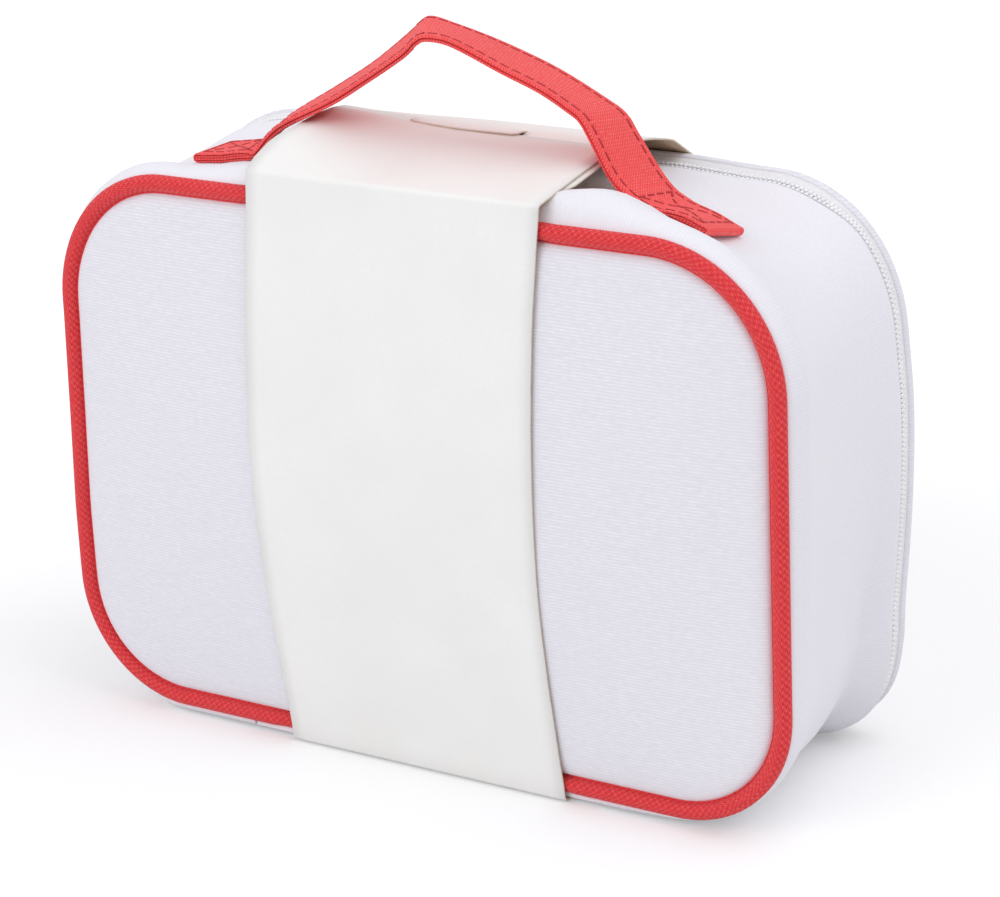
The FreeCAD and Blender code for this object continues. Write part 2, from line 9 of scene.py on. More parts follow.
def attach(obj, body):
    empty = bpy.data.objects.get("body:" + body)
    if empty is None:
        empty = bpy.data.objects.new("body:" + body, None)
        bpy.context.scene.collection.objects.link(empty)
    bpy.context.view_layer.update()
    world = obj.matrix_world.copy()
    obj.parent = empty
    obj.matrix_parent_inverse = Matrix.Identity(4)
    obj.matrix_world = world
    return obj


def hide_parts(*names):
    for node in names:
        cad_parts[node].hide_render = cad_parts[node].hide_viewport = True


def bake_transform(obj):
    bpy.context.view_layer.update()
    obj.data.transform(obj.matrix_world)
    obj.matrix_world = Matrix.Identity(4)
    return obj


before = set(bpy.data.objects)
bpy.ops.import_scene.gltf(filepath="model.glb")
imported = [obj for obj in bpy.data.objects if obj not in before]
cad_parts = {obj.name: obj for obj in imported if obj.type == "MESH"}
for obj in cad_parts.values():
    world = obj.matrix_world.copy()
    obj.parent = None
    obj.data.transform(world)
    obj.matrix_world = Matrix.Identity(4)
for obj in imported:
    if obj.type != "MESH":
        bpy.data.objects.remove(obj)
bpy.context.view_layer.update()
scene = bpy.context.scene
scene.view_settings.view_transform = "Standard"
mm = 0.001
print("frame loaded,", len(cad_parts), "nodes")


# colours and nodes

def linear(colour):
    parts = [int(colour[i:i + 2], 16)/255 for i in (0, 2, 4)]
    return [c/12.92 if c <= 0.04045 else ((c + 0.055)/1.055)**2.4 for c in parts] + [1.0]


def addNode(tree, kind, links=None, **settings):
    made = tree.nodes.new("ShaderNode" + kind)
    for key, value in settings.items():
        setattr(made, key, value)
    for socket, value in (links or {}).items():
        if isinstance(value, bpy.types.NodeSocket):
            tree.links.new(value, made.inputs[socket])
        else:
            made.inputs[socket].default_value = value
    return made


def newMaterial(name, roughness, specular=0.4, sheen=0.0, ior=1.5):
    material = bpy.data.materials.new(name)
    material.use_nodes = True
    shader = material.node_tree.nodes["Principled BSDF"]
    shader.inputs["Roughness"].default_value = roughness
    shader.inputs["Specular IOR Level"].default_value = specular
    shader.inputs["IOR"].default_value = ior
    shader.inputs["Sheen Weight"].default_value = sheen
    shader.inputs["Sheen Roughness"].default_value = 0.5
    return material, material.node_tree, shader


clothSpecular, clothSheen = 0.25, 0.1
wavePeriod = 0.31416/mm  # a wave texture of scale 0.31416 repeats once per unit


def wovenCloth(name, look):
    # ribs broken into slubs, crossed by finer threads, with a faint mottle over the whole cloth
    material, tree, shader = newMaterial(name, look["roughness"], clothSpecular, clothSheen)
    place = addNode(tree, "TexCoord").outputs[look["space"]]
    ribs = addNode(tree, "TexWave", {
        "Vector": place, "Scale": wavePeriod/look["ribPitch"], "Distortion": look["wander"],
        "Detail": 1.0, "Detail Scale": 0.4}, bands_direction=look["ribs"])
    threads = addNode(tree, "TexWave", {
        "Vector": place, "Scale": wavePeriod/look["threadPitch"], "Distortion": look["wander"],
        "Detail": 1.0}, bands_direction=look["threads"])
    stretch = [1/(size*mm) for size in look["slub"]]
    slubPlace = addNode(tree, "Mapping", {"Vector": place, "Scale": stretch})
    slubs = addNode(tree, "TexNoise", {"Vector": slubPlace.outputs[0], "Scale": 1.0, "Detail": 1.0})
    mottle = addNode(tree, "TexNoise", {"Vector": place, "Scale": 1/(look["mottle"]*mm), "Detail": 3.0})
    gaps = addNode(tree, "MapRange", {0: slubs.outputs["Fac"], 1: 0.2, 2: 0.8, 3: 0.0, 4: 1.0})
    broken = addNode(tree, "Math", {0: ribs.outputs["Fac"], 1: gaps.outputs[0]}, operation="MULTIPLY")
    ribHalf = addNode(tree, "Math", {0: ribs.outputs["Fac"], 1: 0.5}, operation="SUBTRACT")
    threadHalf = addNode(tree, "Math", {0: threads.outputs["Fac"], 1: 0.5}, operation="SUBTRACT")
    crossing = addNode(tree, "Math", {0: ribHalf.outputs[0], 1: threadHalf.outputs[0]}, operation="MULTIPLY")
    weave = addNode(tree, "Math", {0: crossing.outputs[0], 1: look["crossShare"], 2: broken.outputs[0]},
                    operation="MULTIPLY_ADD")
    shade = addNode(tree, "Mix", {0: weave.outputs[0], 6: linear(look["valley"]), 7: linear(look["crest"])},
                    data_type="RGBA")
    patch = addNode(tree, "MapRange", {
        0: mottle.outputs["Fac"], 1: 0.35, 2: 0.75, 3: 0.0, 4: look["patchShare"]})
    colour = addNode(tree, "Mix", {0: patch.outputs[0], 6: shade.outputs[2], 7: linear(look["patch"])},
                     data_type="RGBA")
    bump = addNode(tree, "Bump", {"Height": weave.outputs[0], "Strength": look["relief"],
                                  "Distance": look["depth"]*mm})
    tree.links.new(colour.outputs[2], shader.inputs["Base Color"])
    tree.links.new(bump.outputs[0], shader.inputs["Normal"])
    return material


# polyester canvas: matt, with fine horizontal slubs that catch the light
# its ribs are a little coarser than real ones, so that they show
panelCloth = wovenCloth("polyesterCanvas", {
    "space": "Object", "ribs": "Z", "threads": "X", "ribPitch": 0.9, "threadPitch": 0.8, "wander": 0.6,
    "slub": (2.2, 2.2, 0.9), "mottle": 35, "crossShare": 0.5, "patchShare": 0.3, "relief": 0.22, "depth": 0.2,
    "valley": "e2e1e8", "crest": "f4f3f8", "patch": "e7e6ed", "roughness": 0.85})

# the same canvas on the side wall, its ribs running across the wall, painted a little lighter than the
# panel's: painted light on the wall
wallClothPaintedLight = wovenCloth("polyesterCanvasWallPaintedLight", {
    "space": "UV", "ribs": "X", "threads": "Y", "ribPitch": 0.85, "threadPitch": 0.85, "wander": 0.8,
    "slub": (0.9, 1.6, 1.6), "mottle": 40, "crossShare": 1.0, "patchShare": 0.3, "relief": 0.1, "depth": 0.2,
    "valley": "e9e8ee", "crest": "f3f2f7", "patch": "eae9f0", "roughness": 0.82})

# coarse red canvas: each crossing of the threads shows as a small lighter dot, darker between
redLook = {
    "space": "UV", "ribs": "X", "threads": "Y", "ribPitch": 1.0, "threadPitch": 1.0, "wander": 0.5,
    "slub": (1.3, 1.3, 1.3), "mottle": 14, "crossShare": 3.2, "patchShare": 0.2, "relief": 0.45, "depth": 0.3,
    "valley": "f4393f", "crest": "ff837c", "patch": "fb4b4f", "roughness": 0.8}
redCloth = wovenCloth("redCanvas", redLook)

# the same canvas cut on the bias over the piping's cord, painted a deeper red than the strap: painted shade
# on the round cord
pipingClothPaintedShade = wovenCloth("redCanvasPipingPaintedShade", {
    **redLook, "ribs": "DIAGONAL", "crossShare": 2.6, "patchShare": 0.3, "relief": 0.5,
    "valley": "d62d35", "crest": "f55b59", "patch": "e03f44"})

# thin woven lining: smoother and a little greyer than the outside
liningLook = {
    "space": "Object", "ribs": "Z", "threads": "X", "ribPitch": 0.7, "threadPitch": 0.7, "wander": 0.5,
    "slub": (2.0, 2.0, 0.7), "mottle": 30, "crossShare": 0.8, "patchShare": 0.3, "relief": 0.2, "depth": 0.15,
    "valley": "d9d9dd", "crest": "ebebef", "patch": "dddde3", "roughness": 0.7}
liningCloth = wovenCloth("polyesterLining", liningLook)

# the same lining led round inside the wall, its ribs running across it
liningWall = wovenCloth("polyesterLiningWall", {
    **liningLook, "space": "UV", "ribs": "X", "threads": "Y", "slub": (0.7, 2.0, 2.0)})

# zip tape: close woven tape with ribs along its length
tapeCloth = wovenCloth("wovenZipTape", {
    "space": "UV", "ribs": "Y", "threads": "X", "ribPitch": 0.7, "threadPitch": 0.9, "wander": 0.2,
    "slub": (1.5, 0.8, 0.8), "mottle": 20, "crossShare": 0.9, "patchShare": 0.2, "relief": 0.3, "depth": 0.2,
    "valley": "e4e4e6", "crest": "f6f6f8", "patch": "e9e9ec", "roughness": 0.75})


unevenGloss = 0.06


def speckled(name, look):
    # one colour broken by soft patches and a fine grain, which also roughens the surface a little
    material, tree, shader = newMaterial(name, look["roughness"], look["specular"], 0.0, look["ior"])
    place = addNode(tree, "TexCoord").outputs["Object"]
    grain = addNode(tree, "TexNoise", {"Vector": place, "Scale": 1/(look["grain"]*mm), "Detail": 4.0})
    patch = addNode(tree, "TexNoise", {"Vector": place, "Scale": 1/(look["patchSize"]*mm), "Detail": 2.0})
    both = addNode(tree, "Math", {0: grain.outputs["Fac"], 1: patch.outputs["Fac"]}, operation="MULTIPLY")
    tone = addNode(tree, "MapRange", {0: both.outputs[0], 1: 0.1, 2: 0.45, 3: 0.0, 4: 1.0})
    colour = addNode(tree, "Mix", {0: tone.outputs[0], 6: linear(look["dark"]), 7: linear(look["light"])},
                     data_type="RGBA")
    rough = addNode(tree, "MapRange", {
        0: patch.outputs["Fac"], 1: 0.3, 2: 0.7, 3: look["roughness"] - unevenGloss,
        4: look["roughness"] + unevenGloss})
    bump = addNode(tree, "Bump", {"Height": grain.outputs["Fac"], "Strength": look["relief"],
                                  "Distance": look["depth"]*mm})
    tree.links.new(colour.outputs[2], shader.inputs["Base Color"])
    tree.links.new(rough.outputs[0], shader.inputs["Roughness"])
    tree.links.new(bump.outputs[0], shader.inputs["Normal"])
    return material


# coated folding boxboard: smooth warm white with a soft gloss
whiteCard = speckled("coatedBoxboard", {
    "dark": "eeedea", "light": "f4f3f1", "grain": 0.5, "patchSize": 25,
    "roughness": 0.5, "specular": 0.35, "ior": 1.5, "relief": 0.05, "depth": 0.05})
pulp = {"roughness": 0.85, "specular": 0.2, "ior": 1.45}
# its uncoated back: brown pulp with visible fibres
kraftCard = speckled("kraftBoard", {
    **pulp, "dark": "bb9d80", "light": "dcc4aa", "grain": 0.6, "patchSize": 6, "relief": 0.25, "depth": 0.15})
# the cut edge of the card: pulp between two white coats
cutBoard = speckled("cutBoardEdge", {
    **pulp, "dark": "cbbda9", "light": "e6ddd0", "grain": 0.5, "patchSize": 6, "relief": 0.2, "depth": 0.1})
# grey board that stiffens the two panels: dull and flecked
greyBoard = speckled("greyBoard", {
    "dark": "8f867b", "light": "b0a89c", "grain": 0.8, "patchSize": 9,
    "roughness": 0.9, "specular": 0.2, "ior": 1.45, "relief": 0.2, "depth": 0.2})
# nylon coil: white plastic with a soft gloss, so that each tooth sparkles
nylonCoil = speckled("nylonCoil", {
    "dark": "ececee", "light": "f8f8f9", "grain": 0.4, "patchSize": 4,
    "roughness": 0.32, "specular": 0.5, "ior": 1.53, "relief": 0.05, "depth": 0.05})
# enamelled zinc: hard white paint, glossy, with the faint orange peel of a sprayed coat
whiteEnamel = speckled("sprayedEnamel", {
    "dark": "e6e6e8", "light": "f3f3f4", "grain": 0.5, "patchSize": 5,
    "roughness": 0.22, "specular": 0.5, "ior": 1.52, "relief": 0.08, "depth": 0.06})
# twisted polyester thread, painted a darker red than the cloth: painted shade where it sinks into the cloth
redThreadPaintedShade = speckled("redPolyesterThreadPaintedShade", {
    "dark": "a81f26", "light": "c8373c", "grain": 0.25, "patchSize": 2,
    "roughness": 0.6, "specular": 0.35, "ior": 1.5, "relief": 0.3, "depth": 0.1})
print("materials made")


# the round outline that all the walls follow, in mm

# the middle of the piping; the zip runs on it too, before the soft case shifts it
caseLine = {"half": 117.0, "low": 4.5, "high": 162.9, "top": 38.0, "bottom": 33.0}
lineParts = [caseLine[key] for key in ("low", "high", "top", "bottom")]
weldDistance = 2e-6


def offLine(x, z):
    # how far a point stands outside the line, and the way out
    middle = (caseLine["low"] + caseLine["high"])/2
    radius = caseLine["top"] if z > middle else caseLine["bottom"]
    across = abs(x) - caseLine["half"] + radius
    up = abs(z - middle) - (caseLine["high"] - caseLine["low"])/2 + radius
    if across > 0 and up > 0:
        reach = math.hypot(across, up)
        away, side, rise = reach - radius, across/reach, up/reach
    elif across > up:
        away, side, rise = across - radius, 1.0, 0.0
    else:
        away, side, rise = up - radius, 0.0, 1.0
    return away, math.copysign(side, x), math.copysign(rise, z - middle)


def alongLine(x, z):
    # the length from the bottom middle round to the point, the same on both sides
    x = abs(x)
    low, high, top, bottom = lineParts
    flat = caseLine["half"] - bottom
    if z < low + bottom:
        if x <= flat:
            return x
        return flat + bottom*math.atan2(x - flat, low + bottom - z)
    length = flat + bottom*math.pi/2
    if z <= high - top:
        return length + z - low - bottom
    length += high - top - low - bottom
    flat = caseLine["half"] - top
    if x > flat:
        return length + top*math.atan2(z - high + top, x - flat)
    return length + top*math.pi/2 + flat - x


def pointAlong(length):
    # the place on the right half at that length, and the way out
    low, high, top, bottom = lineParts
    flat = caseLine["half"] - bottom
    if length < flat:
        return length, low, 0.0, -1.0
    length -= flat
    if length < bottom*math.pi/2:
        across, drop = math.sin(length/bottom), math.cos(length/bottom)
        return flat + bottom*across, low + bottom - bottom*drop, across, -drop
    length -= bottom*math.pi/2
    side = high - top - low - bottom
    if length < side:
        return caseLine["half"], low + bottom + length, 1.0, 0.0
    length -= side
    flat = caseLine["half"] - top
    if length < top*math.pi/2:
        across, rise = math.cos(length/top), math.sin(length/top)
        return flat + top*across, high - top + top*rise, across, rise
    return flat - length + top*math.pi/2, high, 0.0, 1.0


def addLine(bm, points, closed):
    verts = [bm.verts.new(point) for point in points]
    ends = verts[1:] + verts[:1] if closed else verts[1:]
    return verts, [bm.edges.new(pair) for pair in zip(verts, ends)]


def drawOut(bm, geom, move, steps):
    # carries a line on by the move, steps times
    return bmesh.ops.spin(bm, geom=geom, cent=(0, 0, 0), axis=(0, 1, 0), dvec=move, angle=0.0, steps=steps,
                          use_merge=False)


def only(kind, items):
    return [item for item in items if isinstance(item, kind)]


def sweepRound(bm, section, start=0.0, closed=False, step=5.0, turns=16):
    # the section is (out, depth) pairs, drawn under the case and led round it from start to -start
    points = [(start*mm, depth*mm, (caseLine["low"] - out)*mm) for out, depth in section]
    ring, edges = addLine(bm, points, closed)
    low, high, top, bottom = lineParts
    side = high - top - low - bottom
    wide, narrow = caseLine["half"] - top, caseLine["half"] - bottom
    route = [(narrow - start, 0), (narrow, low + bottom, "turn"), (0, side), (wide, high - top, "turn"),
             (-2*wide, 0), (-wide, high - top, "turn"), (0, -side), (-narrow, low + bottom, "turn"),
             (narrow - start, 0)]
    last = ring + edges
    for leg in route:
        if len(leg) == 3:
            made = bmesh.ops.spin(bm, geom=last, cent=(leg[0]*mm, 0, leg[1]*mm), axis=(0, 1, 0),
                                  dvec=(0, 0, 0), angle=-math.pi/2, steps=turns, use_merge=False)
        else:
            count = max(1, round(math.hypot(leg[0], leg[1])/step))
            made = drawOut(bm, last, (leg[0]*mm/count, 0, leg[1]*mm/count), count)
        last = made["geom_last"]


def weld(bm):
    bmesh.ops.remove_doubles(bm, verts=bm.verts[:], dist=weldDistance)


def bevelAll(bm, size):
    bmesh.ops.bevel(bm, geom=bm.edges[:], offset=size*mm, segments=1, profile=0.5, affect="EDGES",
                    material=-1)


def fillEnds(bm):
    rim = [edge for edge in bm.edges if edge.is_boundary]
    bmesh.ops.holes_fill(bm, edges=rim, sides=0)


cutReach = ((0, 112), (2, 168))  # the cuts go from -112 to 112 mm along x and from 0 to 168 along z


def cutGrid(bm, spacing):
    # even cuts across a panel, so that it can be crowned
    for axis, reach in cutReach:
        place = -reach if axis == 0 else 0.0
        while place < reach:
            point, way = [0.0, 0.0, 0.0], [0.0, 0.0, 0.0]
            point[axis], way[axis] = place*mm, 1.0
            everything = bm.verts[:] + bm.edges[:] + bm.faces[:]
            bmesh.ops.bisect_plane(bm, geom=everything, dist=1e-7, plane_co=point, plane_no=way)
            place += spacing


def roundUv(bm, across=None, period=None):
    # cloth coordinates in metres: along the outline, and across it by depth or by the given function
    layer = bm.loops.layers.uv.new("cloth")
    for face in bm.faces:
        middle = face.calc_center_median()
        side = -1.0 if middle.x < 0 else 1.0
        first = None
        for corner in face.loops:
            x, y, z = corner.vert.co/mm
            v = across(x, y, z) if across else y
            if period and first is not None:
                v -= round((v - first)/period)*period
            first = v if first is None else first
            corner[layer].uv = (side*alongLine(x, z)*mm, v*mm)


def flatUv(bm):
    layer = bm.loops.layers.uv.new("cloth")
    for face in bm.faces:
        for corner in face.loops:
            corner[layer].uv = corner.vert.co.xy


def addMesh(name, bm, materials, sharp):
    mesh = bpy.data.meshes.new(name)
    bm.to_mesh(mesh)
    bm.free()
    for material in materials:
        mesh.materials.append(material)
    mesh.shade_smooth()
    mesh.set_sharp_from_angle(angle=math.radians(sharp))
    piece = bpy.data.objects.new(name, mesh)
    scene.collection.objects.link(piece)
    return piece


def makePiece(name, bm, material, body, stands, sharp=50.0):
    # pieces without a body of their own are left unattached
    weld(bm)
    bmesh.ops.recalc_face_normals(bm, faces=bm.faces[:])
    piece = addMesh(name, bm, [material], sharp)
    if body:
        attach(piece, body)
    if stands:
        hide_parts(*stands)
    return piece


def ease(value):
    value = min(max(value, 0.0), 1.0)
    return value*value*(3 - 2*value)


def ramp(value, start, end):
    # 0 at start and 1 at end, smooth between
    return ease((value - start)/(end - start))


# camera and studio, set from the photograph's viewing angle

camera = {"azimuth": 33.497, "elevation": 19.148, "roll": -2.655, "distance": 0.9407,
          "target": (0.0064, 0.0, 0.08452), "lens": 118.8, "sensor": 36.0}
turn, rise, roll = (math.radians(camera[key]) for key in ("azimuth", "elevation", "roll"))
back = Vector((math.sin(turn)*math.cos(rise), -math.cos(turn)*math.cos(rise), math.sin(rise)))
right = Vector((0, 0, 1)).cross(back).normalized()
up = back.cross(right)
cameraData = bpy.data.cameras.new("photoCamera")
cameraData.sensor_fit = "HORIZONTAL"
cameraData.lens, cameraData.sensor_width = camera["lens"], camera["sensor"]
cameraData.clip_start, cameraData.clip_end = 0.05, 50.0
cameraObject = bpy.data.objects.new("photoCamera", cameraData)
scene.collection.objects.link(cameraObject)
tiltedRight = right*math.cos(roll) + up*math.sin(roll)
tiltedUp = up*math.cos(roll) - right*math.sin(roll)
cameraObject.matrix_world = Matrix.Translation(Vector(camera["target"]) + back*camera["distance"]) @ Matrix(
    (tiltedRight, tiltedUp, back)).transposed().to_4x4()
scene.camera = cameraObject

studio = {"world": 0.73, "sky": "fbfbff", "floorSize": 8.0, "floorDrop": 0.4, "floorColour": "ececec",
          "liftNear": 0.19, "liftFar": 0.36, "liftReach": (0.15, 0.5), "aim": (0, 0, 0.08),
          "lamps": [("keyBox", (-0.7, -1.9, 1.2), 1.6, 13.0), ("sideBox", (1.0, 0.2, 2.0), 1.8, 13.5)]}


def seenRay(tree):
    # 1 for what the camera sees, straight, mirrored or through glass
    rays = addNode(tree, "LightPath")
    seen = addNode(tree, "Math", {0: rays.outputs["Is Camera Ray"], 1: rays.outputs["Is Glossy Ray"]},
                   operation="MAXIMUM")
    return addNode(tree, "Math", {0: seen.outputs[0], 1: rays.outputs["Is Transmission Ray"]},
                   operation="MAXIMUM").outputs[0]


world = bpy.data.worlds.new("studio")
scene.world = world
world.use_nodes = True
tree = world.node_tree
tree.nodes.clear()
soft = addNode(tree, "Background", {"Color": linear(studio["sky"]), "Strength": studio["world"]})
white = addNode(tree, "Background", {"Color": (1, 1, 1, 1), "Strength": 1.0})
either = addNode(tree, "MixShader", {0: seenRay(tree), 1: soft.outputs[0], 2: white.outputs[0]})
addNode(tree, "OutputWorld", {"Surface": either.outputs[0]})

# matt paper, lifted towards white where the camera sees it; the shadow stays
floorMaterial = bpy.data.materials.new("paperSweep")
floorMaterial.use_nodes = True
tree = floorMaterial.node_tree
tree.nodes.clear()
spot = addNode(tree, "TexCoord").outputs["Object"]
reach = addNode(tree, "VectorMath", {0: spot}, operation="LENGTH")
fade = addNode(tree, "MapRange", {
    0: reach.outputs["Value"], 1: studio["liftReach"][0], 2: studio["liftReach"][1], 3: studio["liftNear"],
    4: studio["liftFar"]}, interpolation_type="SMOOTHSTEP")
lift = addNode(tree, "Math", {0: seenRay(tree), 1: fade.outputs[0]}, operation="MULTIPLY")
paper = addNode(tree, "BsdfDiffuse", {"Color": linear(studio["floorColour"])})
glow = addNode(tree, "Emission", {"Color": (1, 1, 1, 1), "Strength": lift.outputs[0]})
both = addNode(tree, "AddShader", {0: paper.outputs[0], 1: glow.outputs[0]})
addNode(tree, "OutputMaterial", {"Surface": both.outputs[0]})
bm = bmesh.new()
bmesh.ops.create_grid(bm, x_segments=2, y_segments=2, size=studio["floorSize"]/2,
                      matrix=Matrix.Translation((0, 0, -studio["floorDrop"]*mm)))
floor = addMesh("studioFloor", bm, [floorMaterial], 50)
for name, place, size, power in studio["lamps"]:
    lamp = bpy.data.lights.new(name, "AREA")
    lamp.shape, lamp.size, lamp.energy = "SQUARE", size, power
    lampObject = bpy.data.objects.new(name, lamp)
    scene.collection.objects.link(lampObject)
    lampObject.location = place
    lampObject.rotation_mode = "QUATERNION"
    lampObject.rotation_quaternion = (Vector(studio["aim"]) - Vector(place)).to_track_quat("-Z", "Y")
print("camera and studio set")


# CAD nodes that keep their own shape

keptNodes = {"back_stiffener_board": greyBoard, "zip_end_stops": nylonCoil,
             "zip_slider": whiteEnamel, "zip_pull_tab": whiteEnamel}
for name, material in keptNodes.items():
    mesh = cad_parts[name].data
    mesh.materials.clear()
    mesh.materials.append(material)


# walls

# how far the soft wall hangs inward at its deepest, (length round from the bottom middle, mm)
waist = {
    "right": [(0, 0), (60, 0.2), (84, 4), (110, 9), (136, 7), (180, 4.5), (224, 5), (245, 8),
              (262, 11.5), (278, 12.8), (290, 7), (300, 3.6), (312, 2), (363, 2)],
    "left": [(0, 0), (60, 0.2), (84, 3), (110, 6), (136, 5), (180, 3.5), (224, 3), (245, 2.6),
             (258, 2.6), (266, 3.4), (272, 6.2), (279, 8), (283, 5), (287, 2), (292, 1.5), (300, 2.2),
             (318, 2.2), (363, 2)],
    "start": -36.0, "near": -30.0, "deepest": 4.0, "far": 31.0, "fullness": 0.95, "blur": 9.0,
    "ripples": ((0.35, 17), (0.2, 7))}  # height and size

# how far the wall puffs up behind the piping along its top, (x, mm), and its shape over the depth
ridge = {
    "top": [(-120, 0.4), (-108, 0.6), (-95, 0.2), (-84, -0.3), (-75, -1.1), (-66, -0.5), (-57, 0.8),
            (-47, 2.4), (0, 4), (47, 4.2), (54, 5.4), (60, 6.2), (65, 5.8), (70, 4.2), (76, 2.4), (84, 0.6),
            (92, 0), (120, 0)],
    "shape": [(-37.4, 0), (-36.5, 0.4), (-35, 0.68), (-33, 0.86), (-30, 0.98), (-26, 1), (-22, 0.98),
              (-18, 0.88), (-14, 0.6), (-10, 0.3), (-5, 0)],
    "heights": (130, 155)}

# the top sinks in a little before the zip
seam = {"sink": 2.3, "heights": (150, 162), "near": (0, 25), "far": (38.5, 32.5)}

# the lower right corner slopes straight in to a fold near the zip, (length round, share) and its shape
cornerFold = {
    "along": [(66, 0), (88, 1), (140, 1), (165, 0.5), (195, 0)],
    "shape": [(-36, 0), (18, 1.05), (20, 1.07), (22, 1), (30.5, 0)], "tuck": 1.5}

# how the far rim has shifted: to the left near the top, and its right side inward, (height, mm)
slump = {
    "aside": 5.6, "asideHeights": (95, 145), "sides": (-40, 40), "depths": (-20, 30),
    "right": [(0, 0), (11, 0.4), (24, 3.8), (36, 4.9), (49, 3.7), (61, 2.6), (73, 1.9), (85, 1.4),
              (100, 1.2), (114, 2.1), (125, 3.3), (136, 4.1), (147, 4.2)], "blur": 8.0,
    "lift": 1.2, "liftHeights": (130, 150), "liftAcross": (80, 50),
    "cornerLift": 2.0, "cornerHeights": (105, 140), "cornerAcross": (-45, -80),
    "drop": 1.9, "dropHeights": (48, 18), "dropAcross": (57, 82)}

# how far the left side stands inward near the back, (height, mm)
lean = {
    "inward": [(0, 0), (15, -0.3), (40, -1), (60, -1), (90, 0.2), (120, 1.2), (140, 1.6), (165, 1.3)],
    "across": (-50, -110), "depths": (0, -30)}

# the lower near edge rolls forward under the piping, and the underside lies on the floor
foot = {"roll": 3.4, "heights": (4.5, 1.5), "depths": (-24, -33),
        "rest": 0.6, "settle": 0.35, "beyond": (58, 73)}


def reading(table, value):
    for (start, low), (end, high) in zip(table, table[1:]):
        if value <= end:
            return low + (high - low)*max(0.0, value - start)/(end - start)
    return table[-1][1]


def blurred(table, value, blur):
    return sum(reading(table, value + blur*offset) for offset in (-1, -0.5, 0, 0.5, 1))/5


def leaning(x, z):
    return reading(lean["inward"], z)*ramp(x, *lean["across"])


def leanAll(bm):
    for vert in bm.verts:
        vert.co.x += leaning(vert.co.x/mm, vert.co.z/mm)*mm


def slumped(x, z):
    # the sideways and upward shift of a point on the far rim
    leftShift = slump["aside"]*ramp(z, *slump["asideHeights"])
    rightShift = blurred(slump["right"], z, slump["blur"])
    share = ramp(x, *slump["sides"])
    lift = slump["lift"]*ramp(z, *slump["liftHeights"])*ramp(abs(x), *slump["liftAcross"])
    corner = slump["cornerLift"]*ramp(z, *slump["cornerHeights"])*ramp(x, *slump["cornerAcross"])
    drop = slump["drop"]*ramp(x, *slump["dropAcross"])*ramp(z, *slump["dropHeights"])
    return leftShift*(share - 1) - rightShift*share, lift + corner - drop


def slumpAll(bm):
    for vert in bm.verts:
        aside, lift = slumped(vert.co.x/mm, vert.co.z/mm)
        vert.co += Vector((aside, 0, lift))*mm


def sagAt(y, folded):
    # how much of the waist's depth a point has, by its own depth
    side = "near" if y < waist["deepest"] else "far"
    reach = abs(waist[side] - waist["deepest"])
    share = min(1.0, max(-1.0, (y - waist["deepest"])/reach))
    sag = max(0.0, math.cos(math.pi/2*share))**waist["fullness"]
    return sag + (reading(cornerFold["shape"], y) - sag)*folded


def softPlace(x, y, z):
    # where a point of the plain wall comes to lie on the soft one
    away, side, rise = offLine(x, z)
    aside, lift = slumped(x, z)
    far = ramp(y, *slump["depths"])
    x, z = x + aside*far, z + lift*far
    puff = reading(ridge["top"], x)*reading(ridge["shape"], y)*ramp(z, *ridge["heights"])
    x, z = x + side*puff, z + rise*puff
    z -= seam["sink"]*ramp(z, *seam["heights"])*ramp(y, *seam["near"])*ramp(y, *seam["far"])
    folded = reading(cornerFold["along"], alongLine(x, z)) if x > 0 else 0.0
    tuck = cornerFold["tuck"]*folded*reading(ridge["shape"], y)
    x, z = x - side*tuck, z - rise*tuck
    if waist["start"] < y < waist["far"]:
        spot = Vector((x, y, z))
        deep = blurred(waist["right" if x > 0 else "left"], alongLine(x, z), waist["blur"])
        deep += sum(height*noise.noise(spot/size) for height, size in waist["ripples"])
        deep *= sagAt(y, folded)
        x, z = x - side*deep, z - rise*deep
    y -= foot["roll"]*ramp(z, *foot["heights"])*ramp(y, *foot["depths"])
    x += leaning(x, z)*ramp(y, *lean["depths"])
    return x, y, max(z, foot["rest"] - foot["settle"]*ramp(abs(x), *foot["beyond"]))


def soften(bm):
    for vert in bm.verts:
        vert.co = Vector(softPlace(*(vert.co/mm)))*mm


# sections round the outline: (distance outside it, depth)
gusset = {
    "start": 58.3,
    "section": [(0.9, -37.4), (2.3, -36.8), (3.4, -35.6), (4.3, -33.6), (4.8, -31), (4.7, -28), (4.4, -24.5),
                (4, -20), (3.7, -14), (3.6, -8), (3.6, -2), (3.55, 4), (3.5, 10), (3.45, 15), (3.4, 18),
                (3.35, 20), (3.3, 22), (3.25, 24), (3, 27), (2.75, 29), (2.45, 30.2), (2.1, 31.1),
                (1.6, 31.4), (1, 31.3), (1, 29), (1.05, 24), (1.05, 22), (1.05, 20), (1.05, 18),
                (1.05, 10), (1.05, 0), (1.05, -12), (1.05, -24), (0.9, -34)]}
bm = bmesh.new()
sweepRound(bm, gusset["section"], start=gusset["start"], closed=True, step=4.0, turns=20)
fillEnds(bm)
roundUv(bm)
soften(bm)
gussetTree = BVHTree.FromBMesh(bm)
makePiece("sideWall", bm, wallClothPaintedLight, "case", ["gusset_wall"])

under = {
    "half": 58.1, "steps": 24,
    "section": [(0.9, -37.6), (2.4, -38.6), (3.3, -38.9), (3.75, -38.2), (3.9, -36), (3.9, -30),
                (3.9, 26), (3.6, 30.2), (2.9, 31.2), (2.2, 31.3), (1.5, 30), (1.4, -34)]}
bm = bmesh.new()
points = [(-under["half"]*mm, depth*mm, (caseLine["low"] - out)*mm) for out, depth in under["section"]]
ring, hoop = addLine(bm, points, True)
drawOut(bm, ring + hoop, (2*under["half"]*mm/under["steps"], 0, 0), under["steps"])
fillEnds(bm)
flatUv(bm)
makePiece("bottomStrip", bm, wallClothPaintedLight, "case", ["bottom_panel"])

